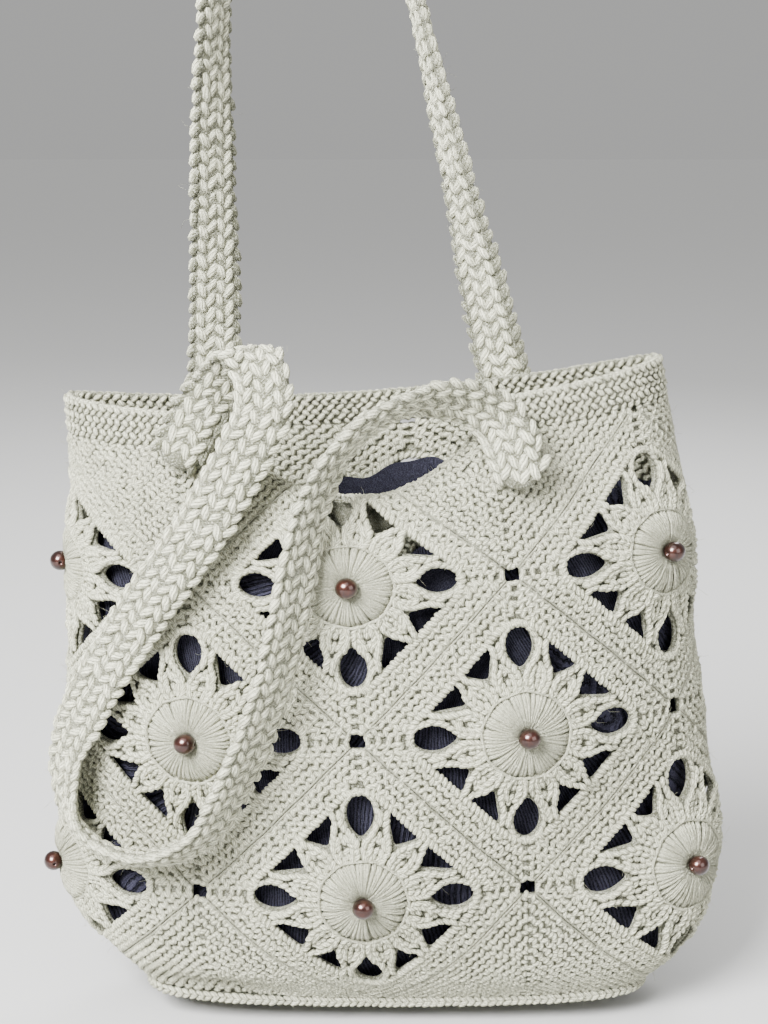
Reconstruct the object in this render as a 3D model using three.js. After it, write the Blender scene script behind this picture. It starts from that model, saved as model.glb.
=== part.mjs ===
// Crochet shoulder bag: twelve openwork squares set on point, three rows of four, with solid
// half squares above and below them, a ribbed rim band, a rectangular base and two flat straps.
// Millimetres. X to the right, -Y to the front, Z up. The bag hangs from the back strap, so the
// origin is under the top of that strap's loop.
import * as THREE from 'three';

// Driving sizes
const bagWidth = 274;
const bagDepth = 72;
const bagHeight = 262;
const squareReach = 66;        // centre of a square to its corner, before it is stretched
const clothThickness = 3.2;
const seamGap = 1;
const columns = 4;             // squares round the bag
const rows = 3;                // rows of squares, each half a square round from the last
const discRadius = 17.5;
const discRise = 2.6;
const discSides = 10;
const beadDiameter = 8;
const strapWidth = 23;
const strapThickness = 6;
const bandHeight = 18;
const baseThickness = 3.1;
const restGap = 0.35;
const facetTolerance = 2.2;
const edgeTolerance = 0.6;
const rollTolerance = 0.9;
const frontCrowding = 0.10;    // squares are this share narrower at the front than on average

// Places round the bag are counted in half squares: turn 0 is the middle of the front, and a
// full round is twice the number of columns. Levels count half squares up from the base.
const fullTurn = 2 * columns;
const rimLevel = rows + 1;
const topLevel = rimLevel + bandHeight / squareReach;

// Cross sections from the base to the rim: rise is a share of the height, width of the width,
// front and back of the depth, shift of the width, and lift and dip of the height: the right
// side is lifted, and the middle dips. Roundness and flatness are the exponents of the front's
// and the back's curve, and turn is how far the pattern is twisted round.
const sections = [
  { level: 0.0, rise: 0.013, width: 0.775, front: 0.44, back: 0.50, shift: 0.020,
    roundness: 5.0, flatness: 5.0, turn: -0.10, lift: 0.000, dip: 0.000 },
  { level: 0.5, rise: 0.085, width: 0.950, front: 0.61, back: 0.31, shift: 0.010,
    roundness: 3.0, flatness: 4.0, turn: -0.14, lift: 0.004, dip: 0.000 },
  { level: 1.0, rise: 0.206, width: 1.000, front: 0.74, back: 0.18, shift: 0.007,
    roundness: 2.0, flatness: 3.4, turn: -0.15, lift: 0.012, dip: 0.000 },
  { level: 2.0, rise: 0.466, width: 0.980, front: 0.80, back: 0.17, shift: 0.000,
    roundness: 2.0, flatness: 3.2, turn: -0.16, lift: 0.016, dip: 0.000 },
  { level: 3.0, rise: 0.718, width: 0.935, front: 0.82, back: 0.16, shift: -0.007,
    roundness: 2.0, flatness: 3.2, turn: -0.19, lift: 0.020, dip: 0.005 },
  { level: 4.0, rise: 0.938, width: 0.890, front: 0.72, back: 0.15, shift: -0.026,
    roundness: 2.0, flatness: 3.0, turn: -0.23, lift: 0.030, dip: 0.025 },
  { level: 4.3, rise: 1.000, width: 0.880, front: 0.66, back: 0.14, shift: -0.033,
    roundness: 2.0, flatness: 3.0, turn: -0.23, lift: 0.030, dip: 0.035 },
];

// The front of the mouth rolls over and hangs down inside the bag. The fold pulls its seams
// open by a small share of a square.
const roll = { middle: 0.15, halfWidth: 1.4, hang: 44, radius: 10, angle: 0.92 * Math.PI,
  seamOpening: 0.008, bandOpening: 4 };

// Each square is puffed out between its seams, and the weight of the bag sags the base.
const puffDepth = 3;
const baseSag = 5;

// Creases and bulges: place, reach along and up in half squares, and depth in millimetres.
const dents = [
  { turn: -1.75, level: 0.45, reachRound: 0.30, reachUp: 0.35, depth: -5 },
  { turn: -1.05, level: 0.15, reachRound: 0.35, reachUp: 0.15, depth: -4 },
  { turn: 2.30, level: 1.00, reachRound: 0.45, reachUp: 0.40, depth: 3 },
  { turn: 2.10, level: 2.40, reachRound: 0.45, reachUp: 0.40, depth: -2.5 },
  { turn: -2.10, level: 2.90, reachRound: 0.40, reachUp: 0.45, depth: -3 },
  { turn: 1.05, level: 1.00, reachRound: 0.30, reachUp: 0.30, depth: -2 },
  { turn: 1.60, level: 3.75, reachRound: 0.30, reachUp: 0.35, depth: -3 },
  { turn: 4.40, level: 2.00, reachRound: 0.60, reachUp: 0.50, depth: -3 },
];

const yarn = new THREE.MeshStandardMaterial({ color: 0xcdccc2, roughness: 0.95, metalness: 0 });
const beadCoat = new THREE.MeshStandardMaterial({ color: 0x6e3a30, roughness: 0.25, metalness: 0.5 });
const darkThread = new THREE.MeshStandardMaterial({ color: 0x23243a, roughness: 0.8, metalness: 0 });

const bag = new THREE.Group();

function smooth(value) {
  const share = Math.min(Math.max(value, 0), 1);
  return share * share * (3 - 2 * share);
}

function wrapTurn(turn) {
  return turn - fullTurn * Math.round(turn / fullTurn);
}

// The section at any level, on a smooth curve through the rows of the table. Above the last
// row it goes on in a straight line.
function sectionAt(level) {
  const last = sections.length - 1;
  const gradient = (key, index) => {
    const below = Math.max(index - 1, 0);
    const above = Math.min(index + 1, last);
    const here = sections[index];
    const down = sections[below];
    const up = sections[above];
    if (below === index) return (up[key] - here[key]) / (up.level - here.level);
    if (above === index) return (here[key] - down[key]) / (here.level - down.level);
    const slopeUp = (up[key] - here[key]) / (up.level - here.level);
    const slopeDown = (here[key] - down[key]) / (here.level - down.level);
    const weightUp = here.level - down.level;
    const weightDown = up.level - here.level;
    return (slopeUp * weightUp + slopeDown * weightDown) / (weightUp + weightDown);
  };
  const result = {};
  let index = 0;
  while (index < last - 1 && level > sections[index + 1].level) index += 1;
  const from = sections[index];
  const to = sections[index + 1];
  const span = to.level - from.level;
  for (const key of Object.keys(from)) {
    if (level > sections[last].level) {
      result[key] = sections[last][key] + (level - sections[last].level) * gradient(key, last);
      continue;
    }
    const share = Math.max((level - from.level) / span, 0);
    const square = share * share;
    const cube = square * share;
    result[key] = (2 * cube - 3 * square + 1) * from[key]
      + (cube - 2 * square + share) * span * gradient(key, index)
      + (3 * square - 2 * cube) * to[key]
      + (cube - square) * span * gradient(key, index + 1);
  }
  return result;
}

// One ring of the bag at a level: points at even steps of length round it.
const ringSteps = 720;
function ringAt(level) {
  const section = sectionAt(level);
  const halfWidth = section.width * bagWidth / 2;
  const points = [];
  for (let step = 0; step <= ringSteps; step += 1) {
    const angle = 2 * Math.PI * step / ringSteps;
    const sine = Math.sin(angle);
    const cosine = Math.cos(angle);
    const power = 2 / (cosine > 0 ? section.roundness : section.flatness);
    const depth = (cosine > 0 ? section.front : section.back) * bagDepth;
    const across = halfWidth * Math.sign(sine) * Math.abs(sine) ** power;
    const forward = depth * Math.sign(cosine) * Math.abs(cosine) ** power;
    points.push([across, -forward]);
  }
  const lengths = [0];
  for (let step = 1; step <= ringSteps; step += 1) {
    const dx = points[step][0] - points[step - 1][0];
    const dy = points[step][1] - points[step - 1][1];
    lengths.push(lengths[step - 1] + Math.hypot(dx, dy));
  }
  return { section, halfWidth, points, lengths };
}

function sagAt(across, level) {
  const spread = Math.max(1 - (across / (0.5 * bagWidth)) ** 2, 0);
  return baseSag * spread * (1 - smooth(level / 1.2));
}

function pointOnRing(ring, turn, level) {
  const { section, halfWidth, points, lengths } = ring;
  const whole = lengths[ringSteps];
  const angle = 2 * Math.PI * (turn + section.turn) / fullTurn;
  const share = (angle - frontCrowding * Math.sin(angle)) / (2 * Math.PI);
  const along = (share - Math.floor(share)) * whole;
  let low = 0;
  let high = ringSteps;
  while (high - low > 1) {
    const middle = (low + high) >> 1;
    if (lengths[middle] <= along) low = middle;
    else high = middle;
  }
  const part = (along - lengths[low]) / (lengths[high] - lengths[low]);
  const across = points[low][0] + part * (points[high][0] - points[low][0]);
  const back = points[low][1] + part * (points[high][1] - points[low][1]);
  const lift = section.lift * bagHeight * across / halfWidth;
  const dip = section.dip * bagHeight * Math.max(1 - (across / halfWidth) ** 2, 0);
  const height = section.rise * bagHeight + lift - dip - sagAt(across, level);
  return new THREE.Vector3(across + section.shift * bagWidth, back, height);
}

// The unrolled wall, also above the rim
const ringStore = new Map();
function plainPoint(turn, level) {
  const key = Math.round(level * 400);
  if (!ringStore.has(key)) ringStore.set(key, ringAt(key / 400));
  return pointOnRing(ringStore.get(key), turn, level);
}

// How far the mouth is rolled at a place round the bag, 0 to 1
function rollShare(turn) {
  const offset = Math.abs(wrapTurn(turn - roll.middle)) / roll.halfWidth;
  return offset < 1 ? (1 - offset * offset) ** 2 : 0;
}

// The wall with its rolled mouth, laid out once as a grid of points
const gridTurns = 192;
const gridLevels = 86;
function layWall() {
  const grid = [];
  const lift = topLevel / gridLevels;
  for (let i = 0; i < gridTurns; i += 1) {
    const turn = fullTurn * i / gridTurns;
    const share = rollShare(turn);
    const rolledLength = roll.hang * share + roll.radius * Math.PI / 2;
    const start = topLevel - rolledLength / squareReach;
    const angle = roll.angle * smooth((share - 0.02) / 0.6);
    const column = [];
    for (let j = 0; j <= gridLevels; j += 1) {
      const level = j * lift;
      const plain = plainPoint(turn, level);
      if (share === 0 || level <= start) {
        column.push(plain);
        continue;
      }
      const below = plainPoint(turn, level - lift);
      const rise = plain.clone().sub(below);
      const left = plainPoint(turn - 0.1, level);
      const right = plainPoint(turn + 0.1, level);
      const inward = new THREE.Vector3(left.y - right.y, right.x - left.x, 0).normalize();
      const walked = (level - lift / 2 - start) * squareReach;
      const bend = angle * smooth(walked / (Math.PI * roll.radius));
      const next = column[j - 1].clone();
      next.addScaledVector(rise, Math.cos(bend));
      next.addScaledVector(inward, rise.length() * Math.sin(bend));
      column.push(next);
    }
    grid.push(column);
  }
  return grid;
}
const wallGrid = layWall();

function cubicWeights(share) {
  const square = share * share;
  const cube = square * share;
  return [
    (-cube + 2 * square - share) / 2,
    (3 * cube - 5 * square + 2) / 2,
    (-3 * cube + 4 * square + share) / 2,
    (cube - square) / 2,
  ];
}

function wallMiddle(turn, level) {
  const across = turn / fullTurn * gridTurns;
  const up = Math.min(Math.max(level / topLevel, 0), 1) * gridLevels;
  const column = Math.floor(across);
  const row = Math.min(Math.floor(up), gridLevels - 1);
  const acrossWeights = cubicWeights(across - column);
  const upWeights = cubicWeights(up - row);
  const point = new THREE.Vector3();
  for (let i = 0; i < 4; i += 1) {
    const index = ((column + i - 1) % gridTurns + gridTurns) % gridTurns;
    for (let j = 0; j < 4; j += 1) {
      const wanted = row + j - 1;
      const nearest = Math.min(Math.max(wanted, 0), gridLevels);
      const inner = Math.min(Math.max(2 * nearest - wanted, 0), gridLevels);
      const weight = acrossWeights[i] * upWeights[j];
      point.addScaledVector(wallGrid[index][nearest], weight);
      if (wanted !== nearest) {
        point.addScaledVector(wallGrid[index][nearest], weight);
        point.addScaledVector(wallGrid[index][inner], -weight);
      }
    }
  }
  return point;
}

// Outward from the wall. The foot of the wall stands upright on the base.
function wallNormal(turn, level) {
  const step = 0.02;
  const low = Math.max(level - step, 0);
  const high = Math.min(level + step, topLevel);
  const along = wallMiddle(turn + step, level).sub(wallMiddle(turn - step, level));
  const up = wallMiddle(turn, high).sub(wallMiddle(turn, low));
  const normal = along.cross(up).normalize();
  normal.z *= smooth(level / 0.3);
  return normal.normalize();
}

// Puff of the squares and the table's dents, measured out from the wall
function reliefAt(turn, level) {
  const seamOne = Math.sin(Math.PI * (turn + level) / 2) ** 2;
  const seamTwo = Math.sin(Math.PI * (level - turn) / 2) ** 2;
  const keep = smooth((level - 0.1) / 0.6) * smooth((3.9 - level) / 0.5);
  let relief = puffDepth * seamOne * seamTwo * keep;
  for (const dent of dents) {
    const round = wrapTurn(turn - dent.turn) / dent.reachRound;
    const rise = (level - dent.level) / dent.reachUp;
    relief += dent.depth * Math.exp(-round * round - rise * rise);
  }
  return relief;
}

// A point of the bag's wall: out is the distance from the middle of the cloth, outward
function onWall(turn, level, out) {
  const normal = wallNormal(turn, level);
  return wallMiddle(turn, level).addScaledVector(normal, out + reliefAt(turn, level));
}

// Turns edges of a flat triangle mesh until no thin corner is left
function improve(points, faces) {
  const cross = (a, b, c) => (b[0] - a[0]) * (c[1] - a[1]) - (b[1] - a[1]) * (c[0] - a[0]);
  const opposite = (a, b, c) => {
    const dot = (a[0] - c[0]) * (b[0] - c[0]) + (a[1] - c[1]) * (b[1] - c[1]);
    return Math.atan2(Math.abs(cross(c, a, b)), dot);
  };
  for (let pass = 0; pass < 30; pass += 1) {
    const edges = new Map();
    let turned = false;
    const used = new Set();
    faces.forEach((face, index) => {
      for (let k = 0; k < 3; k += 1) {
        const from = face[k];
        const to = face[(k + 1) % 3];
        edges.set(`${from},${to}`, [index, face[(k + 2) % 3]]);
      }
    });
    for (const [key, [index, apex]] of edges) {
      const [from, to] = key.split(',').map(Number);
      const other = edges.get(`${to},${from}`);
      if (!other || from > to || used.has(index) || used.has(other[0])) continue;
      const angles = opposite(points[from], points[to], points[apex])
        + opposite(points[from], points[to], points[other[1]]);
      const sound = cross(points[apex], points[from], points[other[1]]) > 1e-6
        && cross(points[other[1]], points[to], points[apex]) > 1e-6;
      if (angles <= Math.PI + 1e-4 || !sound) continue;
      faces[index] = [apex, from, other[1]];
      faces[other[0]] = [other[1], to, apex];
      used.add(index);
      used.add(other[0]);
      turned = true;
    }
    if (!turned) break;
  }
}

// Flat pieces have their origin at a square's centre, so a seam lies where the two distances
// from the axes add up to the square's reach, or along the foot of a half square.
function nearSeam([x, y]) {
  return Math.abs(x) + Math.abs(y) > 0.9 * squareReach || Math.abs(y) < seamGap;
}

function toSeam([x, y]) {
  const sum = Math.abs(x) + Math.abs(y);
  if (sum <= 0.9 * squareReach) return [x, 0];
  return [x * squareReach / sum, y * squareReach / sum];
}

// A flat point of a piece whose origin is at a place on the wall, drawn in where seams open
function drawnIn([x, y], turn, level) {
  const share = rollShare(turn + x / squareReach) * smooth((level + y / squareReach - 3.2) / 0.3);
  const scale = 1 - roll.seamOpening * share;
  return [x * scale, y * scale];
}

// Splits the edges of a flat triangle mesh until it follows the wall, closely where the wall
// rolls over and at the seams. Edges at a seam are judged on the seam itself, so that the
// pieces on both sides of it get the same facets.
function refine(points, faces, place) {
  let current = faces;
  for (let pass = 0; pass < 5; pass += 1) {
    const middles = new Map();
    const shared = new Map();
    for (const face of current) {
      for (let k = 0; k < 3; k += 1) {
        const ends = [face[k], face[(k + 1) % 3]].sort((a, b) => a - b).join();
        shared.set(ends, (shared.get(ends) ?? 0) + 1);
      }
    }
    const split = (a, b) => {
      const key = a < b ? `${a},${b}` : `${b},${a}`;
      if (middles.has(key)) return middles.get(key);
      const middle = [(points[a][0] + points[b][0]) / 2, (points[a][1] + points[b][1]) / 2];
      const ends = [points[a], points[b], middle];
      const seam = shared.get(key) === 1 && ends.every(nearSeam);
      const [from, to, between] = seam ? ends.map(toSeam) : ends;
      const chord = place(from, 0).add(place(to, 0)).multiplyScalar(0.5);
      const middlePlace = place(between, 0);
      const steep = Math.abs(place(between, 1).z - middlePlace.z) > 0.5;
      let index = -1;
      const tolerance = seam ? edgeTolerance : steep ? rollTolerance : facetTolerance;
      if (chord.distanceTo(middlePlace) > tolerance) {
        index = points.length;
        points.push(middle);
      }
      middles.set(key, index);
      return index;
    };
    const next = [];
    let changed = false;
    for (const [a, b, c] of current) {
      const ab = split(a, b);
      const bc = split(b, c);
      const ca = split(c, a);
      const count = (ab >= 0) + (bc >= 0) + (ca >= 0);
      changed = changed || count > 0;
      if (count === 0) next.push([a, b, c]);
      else if (count === 3) next.push([a, ab, ca], [ab, b, bc], [ca, bc, c], [ab, bc, ca]);
      else if (count === 1) {
        const [first, second, third, middle] = ab >= 0 ? [a, b, c, ab]
          : bc >= 0 ? [b, c, a, bc] : [c, a, b, ca];
        next.push([first, middle, third], [middle, second, third]);
      } else {
        const [first, second, third, nearSecond, nearThird] = ab < 0 ? [c, a, b, ca, bc]
          : bc < 0 ? [a, b, c, ab, ca] : [b, c, a, bc, ab];
        next.push([first, nearSecond, nearThird]);
        next.push([nearSecond, second, third], [nearSecond, third, nearThird]);
      }
    }
    current = next;
    if (!changed) break;
  }
  return current;
}

// A closed sheet from a flat mesh: outer and inner faces, and walls along every free edge
function sheetGeometry(points, faces, outer, inner) {
  const positions = [];
  const free = new Map();
  const outerPoints = points.map(outer);
  const innerPoints = points.map(inner);
  const addFace = (...corners) => corners.forEach((corner) => positions.push(...corner.toArray()));
  for (const face of faces) {
    addFace(outerPoints[face[0]], outerPoints[face[1]], outerPoints[face[2]]);
    addFace(innerPoints[face[2]], innerPoints[face[1]], innerPoints[face[0]]);
    for (let k = 0; k < 3; k += 1) {
      const from = face[k];
      const to = face[(k + 1) % 3];
      if (free.has(`${to},${from}`)) free.delete(`${to},${from}`);
      else free.set(`${from},${to}`, [from, to]);
    }
  }
  for (const [from, to] of free.values()) {
    addFace(outerPoints[to], outerPoints[from], innerPoints[from]);
    addFace(outerPoints[to], innerPoints[from], innerPoints[to]);
  }
  const geometry = new THREE.BufferGeometry();
  geometry.setAttribute('position', new THREE.Float32BufferAttribute(positions, 3));
  return geometry;
}

function addPiece(name, geometry, material) {
  const mesh = new THREE.Mesh(geometry, material);
  mesh.name = name;
  bag.add(mesh);
}

// Square pattern, in millimetres from the square's centre, with its corners along the axes
const gapStart = discRadius + 7;
const frameInner = 34;
const cornerGap = { end: 42, endHalf: 3.4, shoulder: gapStart + 7, shoulderHalf: 5.6 };
const sideGap = { tipHalf: 2, near: 2.8, far: 14.6 };
const junctionCut = 4.2;
const edgeParts = 5;
const bandStepsPerTurn = 8;

function squareOutline(gap) {
  const reach = squareReach - gap / Math.SQRT2;
  const near = reach - junctionCut;
  const outline = [];
  for (let corner = 0; corner < 4; corner += 1) {
    const angle = corner * Math.PI / 2;
    const cosine = Math.cos(angle);
    const sine = Math.sin(angle);
    const place = (x, y) => outline.push([x * cosine - y * sine, x * sine + y * cosine]);
    for (let part = 0; part <= edgeParts; part += 1) {
      const share = part / edgeParts;
      place(near + (junctionCut - near) * share, junctionCut + (near - junctionCut) * share);
    }
  }
  return outline;
}

// A gap between two petals: a tip towards the disc, widening to the frame
function petalGap(index) {
  const angle = index * Math.PI / 6;
  const cosine = Math.cos(angle);
  const sine = Math.sin(angle);
  const place = ([x, y]) => [x * cosine - y * sine, x * sine + y * cosine];
  if (index % 3 === 0) {
    const { end, endHalf, shoulder, shoulderHalf } = cornerGap;
    return [[gapStart, 0], [shoulder, -shoulderHalf], [end, -endHalf], [end, endHalf],
      [shoulder, shoulderHalf]].map(place);
  }
  const side = index % 3 === 1 ? 1 : -1;
  const lean = side * Math.PI / 12;
  const onFrame = (along) => [
    frameInner * Math.cos(lean) - along * Math.sin(lean),
    frameInner * Math.sin(lean) + along * Math.cos(lean),
  ];
  const { tipHalf, near, far } = sideGap;
  const ends = [onFrame(-side * near), onFrame(-side * far)].sort((a, b) => a[1] - b[1]);
  return [[gapStart, -tipHalf], ...ends, [gapStart, tipHalf]].map(place);
}

function circle(radius, count) {
  return Array.from({ length: count }, (_, step) => {
    const angle = 2 * Math.PI * (step + 0.5) / count;
    return [radius * Math.cos(angle), radius * Math.sin(angle)];
  });
}

// Round features keep their true size near the centre of a stretched square
function squarePlace(turn, level) {
  const right = wallMiddle(turn + 0.2, level);
  const left = wallMiddle(turn - 0.2, level);
  const stretch = right.distanceTo(left) / 0.4 / squareReach;
  return (point, out) => {
    const [x, y] = drawnIn(point, turn, level);
    const keep = 1 - smooth((Math.hypot(x, y) - discRadius) / (frameInner - discRadius));
    const scale = 1 + (1 / stretch - 1) * keep;
    return onWall(turn + x * scale / squareReach, level + y / squareReach, out);
  };
}

function triangulate(outline, holes) {
  const toVector = ([x, y]) => new THREE.Vector2(x, y);
  const faces = THREE.ShapeUtils.triangulateShape(
    outline.map(toVector), holes.map((hole) => hole.map(toVector)));
  return { points: [outline, ...holes].flat(), faces };
}

const seatRadius = 5;
const seatDrop = 1.6;
function addSquare(name, turn, level) {
  const place = squarePlace(turn, level);
  const discEdge = circle(discRadius, discSides);
  const gaps = Array.from({ length: 12 }, (_, index) => petalGap(index));
  const clockwise = (hole) => hole.slice().reverse();
  const { points, faces } = triangulate(squareOutline(seamGap), [...gaps.map(clockwise), clockwise(discEdge)]);
  const edgeStart = points.length - discSides;
  const shoulderStart = points.length;
  points.push(...clockwise(circle(discRadius - 3.5, discSides)));
  const seatStart = points.length;
  points.push(...clockwise(circle(seatRadius, discSides)));
  const centre = points.length;
  points.push([0, 0]);
  const band = (outerStart, innerStart) => {
    for (let step = 0; step < discSides; step += 1) {
      const next = (step + 1) % discSides;
      faces.push([outerStart + next, outerStart + step, innerStart + step]);
      faces.push([outerStart + next, innerStart + step, innerStart + next]);
    }
  };
  band(edgeStart, shoulderStart);
  band(shoulderStart, seatStart);
  for (let step = 0; step < discSides; step += 1) {
    faces.push([seatStart + (step + 1) % discSides, seatStart + step, centre]);
  }
  const count = faces.filter(([a, b, c]) => Math.max(a, b, c) < shoulderStart).length;
  const plate = faces.slice(0, count);
  improve(points, plate);
  const fine = refine(points, [...plate, ...faces.slice(count)], place);
  const rise = (point) => {
    const radius = Math.hypot(...point);
    const dome = discRise * smooth((discRadius - radius) / 3.5);
    return dome - seatDrop * smooth((seatRadius - radius) / seatRadius);
  };
  const half = clothThickness / 2;
  const outer = (point) => place(point, half + rise(point));
  const inner = (point) => place(point, -half);
  addPiece(name, sheetGeometry(points, fine, outer, inner), yarn);
}

// The bead sits in the dimple at the middle of the disc
function addBead(name, turn, level) {
  const radius = beadDiameter / 2;
  const slope = Math.hypot(seatRadius, seatDrop) / seatRadius;
  const seat = clothThickness / 2 + discRise - seatDrop;
  const centre = onWall(turn, level, seat + (radius + restGap) * slope);
  const geometry = new THREE.SphereGeometry(radius, 8, 5);
  geometry.rotateX(Math.PI / 2);
  geometry.translate(centre.x, centre.y, centre.z);
  addPiece(name, geometry, beadCoat);
}

// A solid half square, pointing up from the base or down from the rim
function addTriangle(name, turn, base, pointing) {
  const slants = squareOutline(seamGap).filter(([, y]) => y > junctionCut / 2);
  const footParts = 2 * bandStepsPerTurn;
  const foot = Array.from({ length: footParts - 1 }, (_, part) => [
    squareReach * (2 * (part + 1) / footParts - 1), seamGap / 2]);
  const { points, faces } = triangulate([...slants, ...foot], []);
  improve(points, faces);
  const place = (point, out) => {
    const [x, y] = drawnIn(point, turn, base - 2 * point[1] / squareReach * (pointing < 0));
    return onWall(turn + x / squareReach, base + pointing * y / squareReach, out);
  };
  const fine = refine(points, faces, place);
  if (pointing < 0) fine.forEach((face) => face.reverse());
  const half = clothThickness / 2;
  addPiece(name, sheetGeometry(points, fine, (point) => place(point, half),
    (point) => place(point, -half)), yarn);
}

const sideNames = ['front', 'right', 'back', 'left'];
const cornerNames = ['front_right', 'back_right', 'back_left', 'front_left'];
for (let column = 0; column < columns; column += 1) {
  addSquare(`square_top_${sideNames[column]}`, 2 * column, 3);
  addSquare(`square_middle_${cornerNames[column]}`, 2 * column + 1, 2);
  addSquare(`square_bottom_${sideNames[column]}`, 2 * column, 1);
  addBead(`bead_top_${sideNames[column]}`, 2 * column, 3);
  addBead(`bead_middle_${cornerNames[column]}`, 2 * column + 1, 2);
  addBead(`bead_bottom_${sideNames[column]}`, 2 * column, 1);
  addTriangle(`triangle_top_${cornerNames[column]}`, 2 * column + 1, rimLevel, -1);
  addTriangle(`triangle_bottom_${cornerNames[column]}`, 2 * column + 1, 0, 1);
}

// A ring of the wall between two heights, closed round the bag. Each four-sided facet is split
// along its shorter diagonal.
function ringSolid(turnSteps, levelAt, outAt) {
  const positions = [];
  const loop = levelAt.length;
  const corner = (step, index) => {
    const turn = fullTurn * step / turnSteps;
    return onWall(turn, levelAt[index](turn), outAt[index]);
  };
  const addFace = (...corners) => corners.forEach((point) => positions.push(...point.toArray()));
  for (let step = 0; step < turnSteps; step += 1) {
    const next = (step + 1) % turnSteps;
    for (let index = 0; index < loop; index += 1) {
      const after = (index + 1) % loop;
      const [a, b] = [corner(step, index), corner(next, index)];
      const [c, d] = [corner(next, after), corner(step, after)];
      if (a.distanceTo(c) < b.distanceTo(d)) {
        addFace(a, b, c);
        addFace(a, c, d);
      } else {
        addFace(a, b, d);
        addFace(b, c, d);
      }
    }
  }
  const geometry = new THREE.BufferGeometry();
  geometry.setAttribute('position', new THREE.Float32BufferAttribute(positions, 3));
  return geometry;
}

const bandHalf = clothThickness / 2 + 0.5;
const bandFoot = (turn) => rimLevel + (1.2 * seamGap + rollShare(turn) * roll.bandOpening) / squareReach;
const bandMiddle = (turn) => (bandFoot(turn) + topLevel) / 2;
const bandTop = () => topLevel;
addPiece('rim_band', ringSolid(bandStepsPerTurn * fullTurn,
  [bandFoot, bandMiddle, bandTop, bandTop, bandMiddle, bandFoot],
  [bandHalf, bandHalf, bandHalf, -bandHalf, -bandHalf, -bandHalf]), yarn);

// The base: a flat panel under the walls, sagging in the middle
function addBase() {
  const steps = 32;
  const ring = ringAt(0);
  const shift = ring.section.shift * bagWidth;
  const rim = [];
  for (let step = 0; step < steps; step += 1) {
    const turn = fullTurn * step / steps;
    rim.push(plainPoint(turn, 0).addScaledVector(wallNormal(turn, 0).setZ(0), clothThickness / 2));
  }
  const centre = new THREE.Vector3();
  rim.forEach((point) => centre.addScaledVector(point, 1 / steps));
  const ringShares = [1, 0.55];
  const points = ringShares.flatMap((share) => rim.map((point) => [
    centre.x + (point.x - centre.x) * share, centre.y + (point.y - centre.y) * share]));
  points.push([centre.x, centre.y]);
  const faces = [];
  for (let step = 0; step < steps; step += 1) {
    const next = (step + 1) % steps;
    faces.push([step, next, steps + next], [step, steps + next, steps + step]);
    faces.push([steps + step, steps + next, 2 * steps]);
  }
  const place = (height) => ([x, y]) => new THREE.Vector3(x, y, height - sagAt(x - shift, 0));
  addPiece('base_panel', sheetGeometry(points, faces, place(baseThickness), place(0)), yarn);
}
addBase();

// The dark pouch inside: a thin bag that hangs just behind the openwork, open at the top
const liningInset = 5;
const liningThickness = 1;
const liningTop = { front: 3.15, back: 3.5 };
const liningFoot = 0.14;
function addLining() {
  const steps = 28;
  const heights = [1, 0.7, 0.4, 0.15, 0];
  const wallPoint = (turn, share, inset) => {
    const swing = (1 - Math.cos(2 * Math.PI * turn / fullTurn)) / 2;
    const top = liningTop.front + (liningTop.back - liningTop.front) * swing;
    const level = liningFoot + (top - liningFoot) * share;
    const { section, halfWidth } = ringAt(level);
    const { x, y, z } = plainPoint(turn, level);
    const middle = section.shift * bagWidth;
    const depth = (y < 0 ? section.front : section.back) * bagDepth;
    const inward = inset + Math.max(-reliefAt(turn, level), 0);
    return new THREE.Vector3(middle + (x - middle) * (1 - inward / halfWidth), y * (1 - inward / depth), z);
  };
  const shift = ringAt(0).section.shift * bagWidth;
  const floorPoint = (turn, share, height) => {
    const edge = wallPoint(turn, 0, liningInset);
    const x = shift + (edge.x - shift) * share;
    return new THREE.Vector3(x, edge.y * share, baseThickness + height - sagAt(x - shift, 0));
  };
  const skin = (inset, height) => {
    const points = [];
    const turns = Array.from({ length: steps }, (_, step) => fullTurn * step / steps);
    heights.forEach((share) => turns.forEach((turn) => points.push(wallPoint(turn, share, inset))));
    turns.forEach((turn) => points.push(floorPoint(turn, 0.8, height)));
    points.push(floorPoint(0, 0, height));
    return points;
  };
  const outer = skin(liningInset, 1);
  const inner = skin(liningInset + liningThickness, 1 + liningThickness);
  const faces = [];
  const ringCount = heights.length + 1;
  for (let ring = 0; ring < ringCount - 1; ring += 1) {
    for (let step = 0; step < steps; step += 1) {
      const next = (step + 1) % steps;
      const high = ring * steps;
      const low = high + steps;
      faces.push([high + step, low + step, low + next], [high + step, low + next, high + next]);
    }
  }
  for (let step = 0; step < steps; step += 1) {
    const low = (ringCount - 1) * steps;
    faces.push([low + step, ringCount * steps, low + (step + 1) % steps]);
  }
  const indices = outer.map((_, index) => index);
  addPiece('lining', sheetGeometry(indices, faces, (index) => outer[index],
    (index) => inner[index]), darkThread);
}
addLining();

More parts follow.
